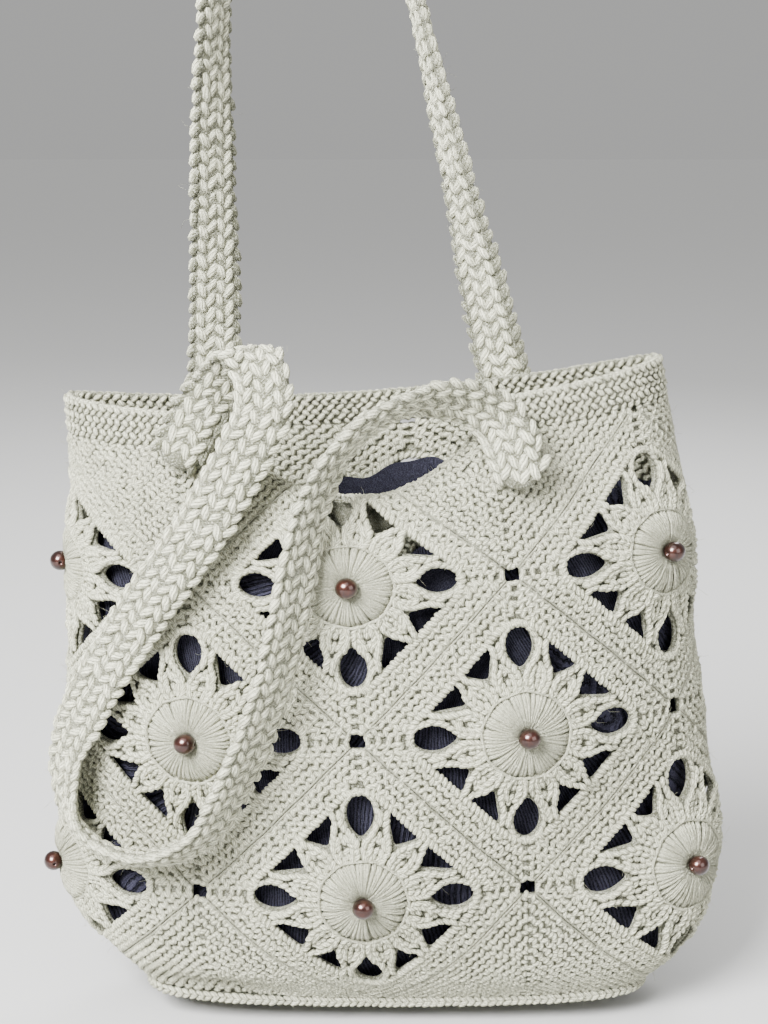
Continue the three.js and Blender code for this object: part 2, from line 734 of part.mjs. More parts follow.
// Straps. A station gives a place as turn, level and distance out from the wall, or as across,
// back and up, and the way that one face of the strap looks there.
const frontStrap = [
  { turn: -0.98, level: 3.86, out: 7.7, face: [0, 1, 0] },
  { turn: -0.81, level: 4.24, out: 8, face: [0, 1, 0] },
  { turn: -0.60, level: 4.58, out: 9, face: [0, 0.8, 0.6] },
  { turn: -0.46, level: 4.75, out: 14, face: [0, 0, 1] },
  { turn: -0.35, level: 4.56, out: 20, face: [0, -0.8, 0.6] },
  { turn: -0.37, level: 4.24, out: 18, face: [0, -1, 0.1] },
  { turn: -0.53, level: 3.90, out: 15.5, face: [0, -1, 0] },
  { turn: -0.80, level: 3.42, out: 12.5, face: [-0.1, -1, 0] },
  { turn: -1.17, level: 2.88, out: 11, face: [-0.2, -1, 0] },
  { turn: -1.53, level: 2.28, out: 11, face: [-0.45, -0.9, 0] },
  { turn: -1.74, level: 1.79, out: 12.5, face: [-0.8, -0.6, -0.2] },
  { turn: -1.70, level: 1.45, out: 14, face: [-0.6, -0.5, -0.6] },
  { turn: -1.48, level: 1.29, out: 15, face: [-0.2, -0.5, -0.85] },
  { turn: -1.19, level: 1.28, out: 15.5, face: [0.2, -0.5, -0.85] },
  { turn: -0.90, level: 1.45, out: 15.5, face: [0.5, -0.55, -0.6] },
  { turn: -0.66, level: 1.86, out: 15.5, face: [0.65, -0.7, -0.3] },
  { turn: -0.45, level: 2.39, out: 17.5, face: [0.7, -0.7, -0.2] },
  { turn: -0.30, level: 2.95, out: 18, face: [0.7, -0.7, -0.2] },
  { turn: -0.13, level: 3.55, out: 17.5, face: [0.7, -0.6, -0.4] },
  { turn: 0.12, level: 3.99, out: 17, face: [0.5, -0.45, -0.75] },
  { turn: 0.45, level: 4.23, out: 17, face: [0.15, -0.45, -0.9] },
  { turn: 0.82, level: 4.28, out: 13, face: [-0.1, -0.75, -0.6] },
  { turn: 1.08, level: 4.08, out: 8.5, face: [-0.1, -1, -0.15] },
  { turn: 1.14, level: 3.81, out: 7.6, face: [0, -1, 0] },
  { turn: 1.13, level: 3.58, out: 7.4, face: [0, -1, 0] },
];

const backStrap = [
  { turn: 5.10, level: 3.55, out: 5.9, face: [0, 1, 0] },
  { turn: 5.10, level: 3.85, out: 5.8, face: [0, 1, 0] },
  { turn: 5.11, level: 4.20, out: 5.9, face: [0, 1, 0] },
  { across: -71, back: 17, up: 285, face: [-0.30, 0.95, 0] },
  { across: -70, back: 13, up: 345, face: [-0.65, 0.75, 0] },
  { across: -68, back: 8, up: 405, face: [-0.87, 0.50, 0] },
  { across: -61, back: 4, up: 455, face: [-0.95, 0.30, 0.15] },
  { across: -50, back: 1, up: 492, face: [-0.80, 0.10, 0.60] },
  { across: -32, back: 0, up: 512, face: [0, 0, 1] },
  { across: -14, back: 1, up: 494, face: [0.80, 0.10, 0.60] },
  { across: 1, back: 4, up: 455, face: [0.98, 0.10, 0.20] },
  { across: 14, back: 8, up: 405, face: [0.98, 0.18, 0.15] },
  { across: 29, back: 13, up: 345, face: [0.86, 0.50, 0.10] },
  { across: 44, back: 17, up: 285, face: [0.40, 0.92, 0] },
  { turn: 3.40, level: 4.20, out: 5.9, face: [0.05, 1, 0] },
  { turn: 3.36, level: 3.85, out: 5.8, face: [0, 1, 0] },
  { turn: 3.32, level: 3.55, out: 5.9, face: [0, 1, 0] },
];

function plainNormal(turn, level) {
  const step = 0.02;
  const along = plainPoint(turn + step, level).sub(plainPoint(turn - step, level));
  const up = plainPoint(turn, level + step).sub(plainPoint(turn, level - step));
  return along.cross(up).normalize();
}

function stationPlace(station) {
  if ('across' in station) return new THREE.Vector3(station.across, station.back, station.up);
  const normal = plainNormal(station.turn, station.level);
  return plainPoint(station.turn, station.level).addScaledVector(normal, station.out);
}

// A flat strap with rounded edges and rounded ends, swept along its stations
const strapEdge = [[1, 0.4], [0.84, 1], [-0.84, 1], [-1, 0.4], [-1, -0.4], [-0.84, -1],
  [0.84, -1], [1, -0.4]];
function addStrap(name, stations, spacing) {
  const curve = new THREE.CatmullRomCurve3(stations.map(stationPlace), false, 'centripetal');
  curve.arcLengthDivisions = 600;
  const length = curve.getLength();
  const rounding = 0.42 * strapWidth;
  const count = Math.round((length - 2 * rounding) / spacing);
  const distances = [0, 0.12, 0.45].map((share) => share * rounding);
  for (let step = 0; step <= count; step += 1) {
    distances.push(rounding + (length - 2 * rounding) * step / count);
  }
  distances.push(...[0.45, 0.12, 0].map((share) => length - share * rounding));
  const rings = distances.map((distance) => {
    const share = distance / length;
    const at = curve.getUtoTmapping(share) * (stations.length - 1);
    const index = Math.min(Math.floor(at), stations.length - 2);
    const from = new THREE.Vector3(...stations[index].face);
    const face = from.lerp(new THREE.Vector3(...stations[index + 1].face), smooth(at - index));
    const forward = curve.getTangentAt(share);
    face.addScaledVector(forward, -face.dot(forward)).normalize();
    const side = forward.clone().cross(face);
    const fromEnd = Math.min(distance, length - distance);
    const narrow = Math.sqrt(1 - Math.max(1 - (fromEnd + 0.4) / rounding, 0) ** 2);
    const place = curve.getPointAt(share);
    return strapEdge.map(([wide, thick]) => place.clone()
      .addScaledVector(side, wide * narrow * strapWidth / 2)
      .addScaledVector(face, thick * strapThickness / 2));
  });
  const positions = [];
  const addFace = (...corners) => corners.forEach((corner) => positions.push(...corner.toArray()));
  const sides = strapEdge.length;
  for (let ring = 0; ring < rings.length - 1; ring += 1) {
    for (let side = 0; side < sides; side += 1) {
      const next = (side + 1) % sides;
      addFace(rings[ring][side], rings[ring + 1][side], rings[ring + 1][next]);
      addFace(rings[ring][side], rings[ring + 1][next], rings[ring][next]);
    }
  }
  const last = rings.at(-1);
  for (let side = 1; side < sides - 1; side += 1) {
    addFace(rings[0][0], rings[0][side], rings[0][side + 1]);
    addFace(last[0], last[side + 1], last[side]);
  }
  const geometry = new THREE.BufferGeometry();
  geometry.setAttribute('position', new THREE.Float32BufferAttribute(positions, 3));
  addPiece(name, geometry, yarn);
}
addStrap('handle_front', frontStrap, 12);
addStrap('handle_back', backStrap, 15);

// The bag hangs from the inside of the back strap's loop
const hangStation = backStrap.find((station) => station.up === 512);
const hung = new THREE.Group();
hung.add(bag);
bag.position.set(-hangStation.across, -hangStation.back, strapThickness / 2 - hangStation.up);

export default hung;
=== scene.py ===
# Crochet shoulder bag: openwork squares, half squares, rim band, base and straps, all in yarn
import math

import bpy
import numpy as np
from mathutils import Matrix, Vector
from mathutils.geometry import delaunay_2d_cdt


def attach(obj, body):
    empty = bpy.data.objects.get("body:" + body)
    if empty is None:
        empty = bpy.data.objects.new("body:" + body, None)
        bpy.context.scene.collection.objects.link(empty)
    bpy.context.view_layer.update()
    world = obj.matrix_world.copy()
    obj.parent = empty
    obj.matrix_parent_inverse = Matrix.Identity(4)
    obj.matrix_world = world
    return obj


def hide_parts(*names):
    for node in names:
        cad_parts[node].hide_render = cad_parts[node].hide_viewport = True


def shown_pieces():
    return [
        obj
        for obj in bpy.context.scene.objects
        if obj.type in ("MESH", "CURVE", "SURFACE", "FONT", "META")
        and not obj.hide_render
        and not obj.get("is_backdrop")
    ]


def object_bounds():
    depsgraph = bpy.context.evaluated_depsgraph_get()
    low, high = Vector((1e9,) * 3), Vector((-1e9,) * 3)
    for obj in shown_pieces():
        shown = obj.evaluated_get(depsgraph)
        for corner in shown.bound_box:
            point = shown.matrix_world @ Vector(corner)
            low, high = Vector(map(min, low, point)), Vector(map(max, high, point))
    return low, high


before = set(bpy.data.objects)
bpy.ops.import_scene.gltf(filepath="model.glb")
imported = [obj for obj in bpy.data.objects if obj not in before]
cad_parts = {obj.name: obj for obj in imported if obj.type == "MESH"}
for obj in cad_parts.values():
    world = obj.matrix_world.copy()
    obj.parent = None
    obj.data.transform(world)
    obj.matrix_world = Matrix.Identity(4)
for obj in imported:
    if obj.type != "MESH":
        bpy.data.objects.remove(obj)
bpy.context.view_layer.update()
draw = np.random.default_rng(20)

# The bag is laid out in millimetres, X right, -Y front, Z up from its base. The row frame's
# origin is under the top of the back strap.
bagOrigin = np.array([32.0, 0.0, -509.0])


def toRow(points):
    return (np.asarray(points, float) + bagOrigin) / 1000


# The wall of the bag
bag = {
    "width": 274, "depth": 72, "height": 262, "squareReach": 66, "bandHeight": 18,
    "frontCrowding": 0.10, "puff": 3, "sag": 5, "discRadius": 17.5, "frameInner": 34,
}
squareReach = bag["squareReach"]
fullTurn = 8
rimLevel = 4
topLevel = rimLevel + bag["bandHeight"] / squareReach
roll = {"middle": 0.15, "halfWidth": 1.4, "hang": 44, "radius": 10, "angle": 0.92 * math.pi}

# level, rise, width, front, back, shift, roundness, flatness, turn, lift, dip
sections = np.array([
    [0.0, 0.013, 0.775, 0.44, 0.50, 0.020, 5.0, 5.0, -0.10, 0.000, 0.000],
    [0.5, 0.085, 0.950, 0.61, 0.31, 0.010, 3.0, 4.0, -0.14, 0.004, 0.000],
    [1.0, 0.206, 1.000, 0.74, 0.18, 0.007, 2.0, 3.4, -0.15, 0.012, 0.000],
    [2.0, 0.466, 0.980, 0.80, 0.17, 0.000, 2.0, 3.2, -0.16, 0.016, 0.000],
    [3.0, 0.718, 0.935, 0.82, 0.16, -0.007, 2.0, 3.2, -0.19, 0.020, 0.005],
    [4.0, 0.938, 0.890, 0.72, 0.15, -0.026, 2.0, 3.0, -0.23, 0.030, 0.025],
    [4.3, 1.000, 0.880, 0.66, 0.14, -0.033, 2.0, 3.0, -0.23, 0.030, 0.035],
])

# turn, level, reach along, reach up, depth
dents = [
    (-1.75, 0.45, 0.30, 0.35, -5), (-1.05, 0.15, 0.35, 0.15, -4), (2.30, 1.00, 0.45, 0.40, 3),
    (2.10, 2.40, 0.45, 0.40, -2.5), (-2.10, 2.90, 0.40, 0.45, -3), (1.05, 1.00, 0.30, 0.30, -2),
    (1.60, 3.75, 0.30, 0.35, -3), (4.40, 2.00, 0.60, 0.50, -3),
]


def smooth(value):
    share = np.clip(value, 0, 1)
    return share * share * (3 - 2 * share)


def wrapTurn(turn):
    return turn - fullTurn * np.round(turn / fullTurn)


def unit(vectors):
    length = np.linalg.norm(vectors, axis=-1, keepdims=True)
    return vectors / np.maximum(length, 1e-9)


# How far each point of a row of points is from its start, along the row
def walkedAlong(points):
    steps = np.linalg.norm(np.diff(points, axis=-2), axis=-1)
    return np.concatenate([np.zeros((*steps.shape[:-1], 1)), np.cumsum(steps, -1)], -1)


# Four-cornered faces between neighbouring rings of points
def ringFaces(rings, sides, first=0, closed=False):
    corners = []
    for ring in range(rings if closed else rings - 1):
        low, high = first + ring * sides, first + (ring + 1) % rings * sides
        corners += [(low + side, low + (side + 1) % sides, high + (side + 1) % sides, high + side)
                    for side in range(sides)]
    return corners


sectionLevels = sections[:, 0]
spans = np.diff(sectionLevels)[:, None]
rates = np.diff(sections, axis=0) / spans
innerSlopes = (rates[1:] * spans[:-1] + rates[:-1] * spans[1:]) / (spans[:-1] + spans[1:])
sectionSlopes = np.vstack([rates[:1], innerSlopes, rates[-1:]])


# The values of the table at a level, along a smooth curve through its rows
def sectionAt(level):
    if level > sectionLevels[-1]:
        return sections[-1] + (level - sectionLevels[-1]) * sectionSlopes[-1]
    index = min(max(int(np.searchsorted(sectionLevels, level)) - 1, 0), len(sections) - 2)
    span = spans[index, 0]
    t = max((level - sectionLevels[index]) / span, 0)
    return ((2 * t**3 - 3 * t**2 + 1) * sections[index]
            + (t**3 - 2 * t**2 + t) * span * sectionSlopes[index]
            + (3 * t**2 - 2 * t**3) * sections[index + 1]
            + (t**3 - t**2) * span * sectionSlopes[index + 1])


ringAngles = np.linspace(0, 2 * math.pi, 721)
ringStore = {}


def ringAt(level):
    key = round(level * 400)
    if key in ringStore:
        return ringStore[key]
    row = sectionAt(key / 400)
    halfWidth = row[2] * bag["width"] / 2
    cosine, sine = np.cos(ringAngles), np.sin(ringAngles)
    power = 2 / np.where(cosine > 0, row[6], row[7])
    depth = np.where(cosine > 0, row[3], row[4]) * bag["depth"]
    across = halfWidth * np.sign(sine) * np.abs(sine) ** power
    back = -depth * np.sign(cosine) * np.abs(cosine) ** power
    length = walkedAlong(np.stack([across, back], 1))
    ringStore[key] = (row, halfWidth, across, back, length)
    return ringStore[key]


def sagAt(across, level):
    spread = np.maximum(1 - (across / (0.5 * bag["width"])) ** 2, 0)
    return bag["sag"] * spread * (1 - smooth(level / 1.2))


def plainPoint(turn, level):
    row, halfWidth, across, back, length = ringAt(level)
    share = (np.asarray(turn, float) + row[8]) / fullTurn
    share = share - bag["frontCrowding"] * np.sin(2 * math.pi * share) / (2 * math.pi)
    along = (share % 1) * length[-1]
    x, y = np.interp(along, length, across), np.interp(along, length, back)
    dip = row[10] * bag["height"] * np.maximum(1 - (x / halfWidth) ** 2, 0)
    z = row[1] * bag["height"] + row[9] * bag["height"] * x / halfWidth - dip - sagAt(x, level)
    return np.stack([x + row[5] * bag["width"], y, z], -1)


def rollShare(turn):
    offset = np.abs(wrapTurn(turn - roll["middle"])) / roll["halfWidth"]
    return np.where(offset < 1, (1 - offset**2) ** 2, 0)


gridTurns = 192
gridLevels = 86


def layWall():
    turns = np.arange(gridTurns) * fullTurn / gridTurns
    share = rollShare(turns)
    rolled = roll["hang"] * share + roll["radius"] * math.pi / 2
    start = topLevel - rolled / squareReach
    angle = roll["angle"] * smooth((share - 0.02) / 0.6)
    lift = topLevel / gridLevels
    wall = np.zeros((gridTurns, gridLevels + 1, 3))
    wall[:, 0] = below = plainPoint(turns, 0)
    for row in range(1, gridLevels + 1):
        level = row * lift
        plain = plainPoint(turns, level)
        rise = plain - below
        left, right = plainPoint(turns - 0.1, level), plainPoint(turns + 0.1, level)
        inward = unit(np.stack([left[:, 1] - right[:, 1], right[:, 0] - left[:, 0], 0 * turns], 1))
        rolledBy = (level - lift / 2 - start) * squareReach / (math.pi * roll["radius"])
        bend = (angle * smooth(rolledBy))[:, None]
        stride = np.linalg.norm(rise, axis=1)[:, None]
        bent = wall[:, row - 1] + rise * np.cos(bend) + inward * stride * np.sin(bend)
        on = (share > 0) & (level > start)
        wall[:, row] = np.where(on[:, None], bent, plain)
        below = plain
    return wall


wallGrid = layWall()


def cubicWeights(share):
    square = share * share
    cube = square * share
    return [(-cube + 2 * square - share) / 2, (3 * cube - 5 * square + 2) / 2,
            (-3 * cube + 4 * square + share) / 2, (cube - square) / 2]


def wallMiddle(turn, level):
    turn, level = np.broadcast_arrays(np.asarray(turn, float), np.asarray(level, float))
    across = turn / fullTurn * gridTurns
    up = np.clip(level / topLevel, 0, 1) * gridLevels
    column = np.floor(across).astype(int)
    row = np.minimum(np.floor(up).astype(int), gridLevels - 1)
    acrossWeights, upWeights = cubicWeights(across - column), cubicWeights(up - row)
    point = np.zeros(turn.shape + (3,))
    for i in range(4):
        index = (column + i - 1) % gridTurns
        for j in range(4):
            wanted = row + j - 1
            nearest = np.clip(wanted, 0, gridLevels)
            inner = np.clip(2 * nearest - wanted, 0, gridLevels)
            edge = (wanted != nearest)[..., None]
            here = wallGrid[index, nearest]
            here = np.where(edge, 2 * here - wallGrid[index, inner], here)
            point += (acrossWeights[i] * upWeights[j])[..., None] * here
    return point


def wallNormal(turn, level):
    step = 0.02
    low, high = np.maximum(level - step, 0), np.minimum(level + step, topLevel)
    along = wallMiddle(turn + step, level) - wallMiddle(turn - step, level)
    up = wallMiddle(turn, high) - wallMiddle(turn, low)
    normal = unit(np.cross(along, up))
    normal[..., 2] *= smooth(np.asarray(level, float) / 0.3)
    return unit(normal)


def reliefAt(turn, level):
    turn, level = np.asarray(turn, float), np.asarray(level, float)
    keep = smooth((level - 0.1) / 0.6) * smooth((3.9 - level) / 0.5)
    seams = np.sin(math.pi * (turn + level) / 2) ** 2 * np.sin(math.pi * (level - turn) / 2) ** 2
    relief = bag["puff"] * seams * keep
    for dentTurn, dentLevel, along, up, depth in dents:
        relief = relief + depth * np.exp(-(wrapTurn(turn - dentTurn) / along) ** 2
                                         - ((level - dentLevel) / up) ** 2)
    # slight unevenness of the handmade cloth
    relief = relief + 0.45 * keep * np.sin(5.5 * level + 1.3 * np.sin(math.pi * turn)) \
        * np.sin(2.5 * math.pi * turn + 1.9 * level)
    return relief


def onWall(turn, level, out):
    turn, level = np.asarray(turn, float), np.asarray(level, float)
    return wallMiddle(turn, level) + wallNormal(turn, level) * (out + reliefAt(turn, level))[..., None]


# Finishes. An input is a value or another node's output.
def setInputs(tree, node, inputs):
    for key, value in dict(inputs).items():
        if hasattr(value, "is_output"):
            tree.links.new(value, node.inputs[key])
        else:
            node.inputs[key].default_value = value


def addNode(tree, kind, inputs=(), **settings):
    node = tree.nodes.new(kind)
    for key, value in settings.items():
        setattr(node, key, value)
    setInputs(tree, node, inputs)
    return node


def newMaterial(name):
    material = bpy.data.materials.new(name)
    material.use_nodes = True
    return material, material.node_tree, material.node_tree.nodes["Principled BSDF"]


def mathNode(tree, operation, *values):
    return addNode(tree, "ShaderNodeMath", enumerate(values), operation=operation).outputs[0]


def noiseNode(tree, place, scale, detail=2.0, roughness=0.5):
    inputs = {"Vector": place, "Scale": scale, "Detail": detail, "Roughness": roughness}
    return addNode(tree, "ShaderNodeTexNoise", inputs).outputs["Fac"]


def mixColour(tree, share, first, second):
    inputs = {0: share}
    for key, colour in ((6, first), (7, second)):
        inputs[key] = (*colour, 1) if isinstance(colour, tuple) else colour
    return addNode(tree, "ShaderNodeMix", inputs, data_type="RGBA").outputs[2]


def mapRange(tree, value, low, high, toLow=0.0, toHigh=1.0):
    inputs = {"Value": value, "From Min": low, "From Max": high, "To Min": toLow, "To Max": toHigh}
    return addNode(tree, "ShaderNodeMapRange", inputs).outputs["Result"]


def bumpNode(tree, height, distance, strength, **under):
    inputs = {"Height": height, "Distance": distance, "Strength": strength, **under}
    return addNode(tree, "ShaderNodeBump", inputs).outputs["Normal"]


# Plied yarn: the strands run aslant along each stitch, which carries its own UV map, and
# "rise" says how far a place stands out of the cloth; places that stand out less get painted shade.
def plyFinish(name, look):
    material, tree, shader = newMaterial(name)
    uv = addNode(tree, "ShaderNodeUVMap", uv_map="UVMap").outputs["UV"]
    split = addNode(tree, "ShaderNodeSeparateXYZ", {0: uv}).outputs
    place = addNode(tree, "ShaderNodeTexCoord").outputs["Object"]
    rise = addNode(tree, "ShaderNodeAttribute", attribute_name="rise").outputs["Fac"]
    aslant = mathNode(tree, "MULTIPLY_ADD", split["X"], look["plies"],
                      mathNode(tree, "MULTIPLY", split["Y"], look["twist"]))
    aslant = mathNode(tree, "MULTIPLY_ADD", noiseNode(tree, place, look["wobbleScale"], 1.0), 0.5, aslant)

    def waveOf(turns):
        return mathNode(tree, "SINE", mathNode(tree, "MULTIPLY", aslant, turns * 2 * math.pi))

    strand = mathNode(tree, "MULTIPLY_ADD", waveOf(2.7), 0.45, waveOf(1))
    strand = mapRange(tree, strand, -1.3, 1.3)
    fibre = noiseNode(tree, place, look["fibreScale"], 3.0, 0.7)
    patch = noiseNode(tree, place, look["patchScale"])
    # painted shade: the sides and undersides of the stitches and the sheets under them are mixed towards the
    # darkest colour, in the plain and the heather tone alike
    depth = mapRange(tree, rise, look["deep"], look["proud"])
    colour = mixColour(tree, depth, look["paintedShadeAndFleck"], look["colour"])
    heather = mixColour(tree, depth, look["paintedShadeAndFleck"], look["heather"])
    # random heather patches, painted shade in the grooves between the plies, then random lighter and darker
    # fibre flecks
    for source, low, high, toLow, toHigh, tint in (
            (patch, 0.35, 0.65, 0.0, 0.5, heather),
            (strand, 0.05, 0.6, look["plyShade"], 0.0, look["paintedShadeAndFleck"]),
            (fibre, 0.48, 0.72, 0.0, 0.6, look["light"]),
            (fibre, 0.28, 0.48, 0.35, 0.0, look["paintedShadeAndFleck"])):
        colour = mixColour(tree, mapRange(tree, source, low, high, toLow, toHigh), colour, tint)
    normal = bumpNode(tree, strand, look["plyDepth"], 0.9)
    normal = bumpNode(tree, fibre, look["fibreDepth"], 0.8, Normal=normal)
    setInputs(tree, shader, {
        "Base Color": colour, "Normal": normal, "Roughness": 0.95, "Specular IOR Level": 0.15,
        "Sheen Weight": look["sheen"], "Sheen Roughness": 0.45, "Sheen Tint": (*look["light"], 1)})
    return material


# The darkest colour of each look is painted shade for creases, stitch sides and ply grooves; it also darkens
# random fibre flecks.
yarnLook = {
    "colour": (0.79, 0.785, 0.585), "heather": (0.68, 0.68, 0.49), "light": (0.98, 0.98, 0.82),
    "paintedShadeAndFleck": (0.10, 0.102, 0.064), "deep": -0.4, "proud": 0.8, "plies": 7.0, "twist": 2.6,
    "plyShade": 0.8, "plyDepth": 0.0008, "fibreScale": 1500, "fibreDepth": 0.0006, "patchScale": 70,
    "wobbleScale": 420, "sheen": 0.25,
}
darkLook = {
    "colour": (0.038, 0.037, 0.060), "heather": (0.024, 0.023, 0.040), "light": (0.11, 0.11, 0.16),
    "paintedShadeAndFleck": (0.002, 0.002, 0.004), "deep": -1.0, "proud": 0.6, "plies": 4.0, "twist": 1.0,
    "plyShade": 1.5, "plyDepth": 0.002, "fibreScale": 2200, "fibreDepth": 0.0002, "patchScale": 90,
    "wobbleScale": 420, "sheen": 0.04,
}
yarn = plyFinish("grey_yarn", yarnLook)
darkYarn = plyFinish("navy_yarn", darkLook)


def pearlFinish():
    material, tree, shader = newMaterial("copper_pearl")
    place = addNode(tree, "ShaderNodeTexCoord").outputs["Object"]
    cloud = noiseNode(tree, place, 260, 3.0)
    # painted shade: the bead is mixed darker towards its rim where its surface turns away from the view
    paintedRimShade = addNode(tree, "ShaderNodeLayerWeight", {"Blend": 0.35}).outputs["Facing"]
    colour = mixColour(tree, mapRange(tree, cloud, 0.35, 0.7), (0.022, 0.005, 0.003), (0.075, 0.022, 0.014))
    colour = mixColour(tree, paintedRimShade, colour, (0.014, 0.004, 0.003))
    setInputs(tree, shader, {
        "Base Color": colour, "Normal": bumpNode(tree, cloud, 0.0001, 0.3), "Metallic": 0.7,
        "Roughness": 0.3, "Coat Weight": 0.8, "Coat Roughness": 0.12})
    return material


pearl = pearlFinish()
print("finishes ready")


# Stitches
# Every stitch is a plump lobe of yarn laid on a point that carries its direction, the way out
# of the cloth and its size. A tree of Geometry Nodes lays them all.
def stitchTree():
    tree = bpy.data.node_groups.new("lay_stitches", "GeometryNodeTree")
    sockets = {}
    for label, kind, value in (("Geometry", "Geometry", None), ("Sides", "Int", 6), ("Rings", "Int", 4),
                               ("Wobble", "Float", 0.18), ("Size Spread", "Float", 0.12),
                               ("Seed", "Int", 0), ("Finish", "Material", None)):
        socket = tree.interface.new_socket(label, in_out="INPUT", socket_type="NodeSocket" + kind)
        if value is not None:
            socket.default_value = value
        sockets[label] = socket.identifier
    tree.interface.new_socket("Geometry", in_out="OUTPUT", socket_type="NodeSocketGeometry")
    entry = addNode(tree, "NodeGroupInput").outputs

    def attribute(name):
        node = addNode(tree, "GeometryNodeInputNamedAttribute", {"Name": name}, data_type="FLOAT_VECTOR")
        return node.outputs["Attribute"]

    def stored(mesh, name, value, kind, domain):
        inputs = {"Geometry": mesh, "Name": name, "Value": value}
        node = addNode(tree, "GeometryNodeStoreNamedAttribute", inputs, data_type=kind, domain=domain)
        return node.outputs[0]

    def scaled(vector, scale):
        inputs = {0: vector, "Scale": scale}
        return addNode(tree, "ShaderNodeVectorMath", inputs, operation="SCALE").outputs[0]

    sphere = addNode(tree, "GeometryNodeMeshUVSphere",
                     {"Radius": 1, "Segments": entry["Sides"], "Rings": entry["Rings"]}).outputs
    position = addNode(tree, "GeometryNodeInputPosition").outputs[0]
    # painted shade: each lobe's height out of the cloth is stored as rise, so the yarn finish paints its
    # sides and underside darker
    outward = addNode(tree, "ShaderNodeSeparateXYZ", {0: position}).outputs["X"]
    lobe = stored(sphere["Mesh"], "UVMap", sphere["UV Map"], "FLOAT2", "CORNER")
    lobe = stored(lobe, "rise", outward, "FLOAT", "POINT")
    turn = addNode(tree, "FunctionNodeAxesToRotation", {0: attribute("along"), 1: attribute("out")},
                   primary_axis="Z", secondary_axis="X").outputs[0]
    sway = addNode(tree, "FunctionNodeRandomValue", {
        0: scaled((-0.6, -0.6, -1), entry["Wobble"]), 1: scaled((0.6, 0.6, 1), entry["Wobble"]),
        "Seed": entry["Seed"]}, data_type="FLOAT_VECTOR").outputs[0]
    sway = addNode(tree, "FunctionNodeEulerToRotation", {0: sway}).outputs[0]
    turn = addNode(tree, "FunctionNodeRotateRotation", {0: turn, 1: sway}, rotation_space="LOCAL").outputs[0]
    spread = addNode(tree, "FunctionNodeRandomValue", {
        2: mathNode(tree, "SUBTRACT", 1.0, entry["Size Spread"]),
        3: mathNode(tree, "ADD", 1.0, entry["Size Spread"]),
        "Seed": mathNode(tree, "ADD", entry["Seed"], 1.0)}, data_type="FLOAT").outputs[1]
    made = addNode(tree, "GeometryNodeInstanceOnPoints", {
        "Points": entry["Geometry"], "Instance": lobe, "Rotation": turn,
        "Scale": scaled(attribute("size"), spread)}).outputs[0]
    made = addNode(tree, "GeometryNodeRealizeInstances", {0: made}).outputs[0]
    made = addNode(tree, "GeometryNodeSetShadeSmooth", {0: made}).outputs[0]
    made = addNode(tree, "GeometryNodeSetMaterial", {
        "Geometry": made, "Material": entry["Finish"]}).outputs[0]
    addNode(tree, "NodeGroupOutput", {0: made})
    return tree, sockets


stitches, stitchSockets = stitchTree()


# Sets of lobes as one: their places, directions, ways out of the cloth and sizes
def gathered(lobes):
    return [np.concatenate(values) for values in zip(*lobes)]


def layStitches(name, lobes, sides, wobble, seed):
    place, along, out, size = gathered(lobes)
    mesh = bpy.data.meshes.new(name)
    mesh.vertices.add(len(place))
    mesh.vertices.foreach_set("co", toRow(place).ravel())
    sizes = size[:, ::-1] / 2000
    for label, values in (("along", along), ("out", out), ("size", sizes)):
        mesh.attributes.new(label, "FLOAT_VECTOR", "POINT").data.foreach_set("vector", values.ravel())
    holder = bpy.data.objects.new(name, mesh)
    bpy.context.scene.collection.objects.link(holder)
    modifier = holder.modifiers.new("stitches", "NODES")
    modifier.node_group = stitches
    for label, value in {"Sides": sides, "Rings": 4, "Wobble": wobble, "Seed": seed, "Finish": yarn}.items():
        modifier[stitchSockets[label]] = value
    result = bpy.data.meshes.new_from_object(holder.evaluated_get(bpy.context.evaluated_depsgraph_get()))
    bpy.data.objects.remove(holder)
    return result


# rise sets how much painted shade the yarn finish gives each point: the less a place stands out, the darker
def makeMesh(points, faces, uv, rise, material):
    mesh = bpy.data.meshes.new("cloth")
    mesh.from_pydata(toRow(points).tolist(), [], faces)
    layer = mesh.uv_layers.new(name="UVMap")
    corners = np.zeros(len(mesh.loops), int)
    mesh.loops.foreach_get("vertex_index", corners)
    layer.data.foreach_set("uv", (uv[corners] if len(uv) == len(points) else uv).ravel())
    rises = np.broadcast_to(rise, len(points)).astype(float)
    mesh.attributes.new("rise", "FLOAT", "POINT").data.foreach_set("value", rises)
    mesh.materials.append(material)
    mesh.shade_smooth()
    return mesh


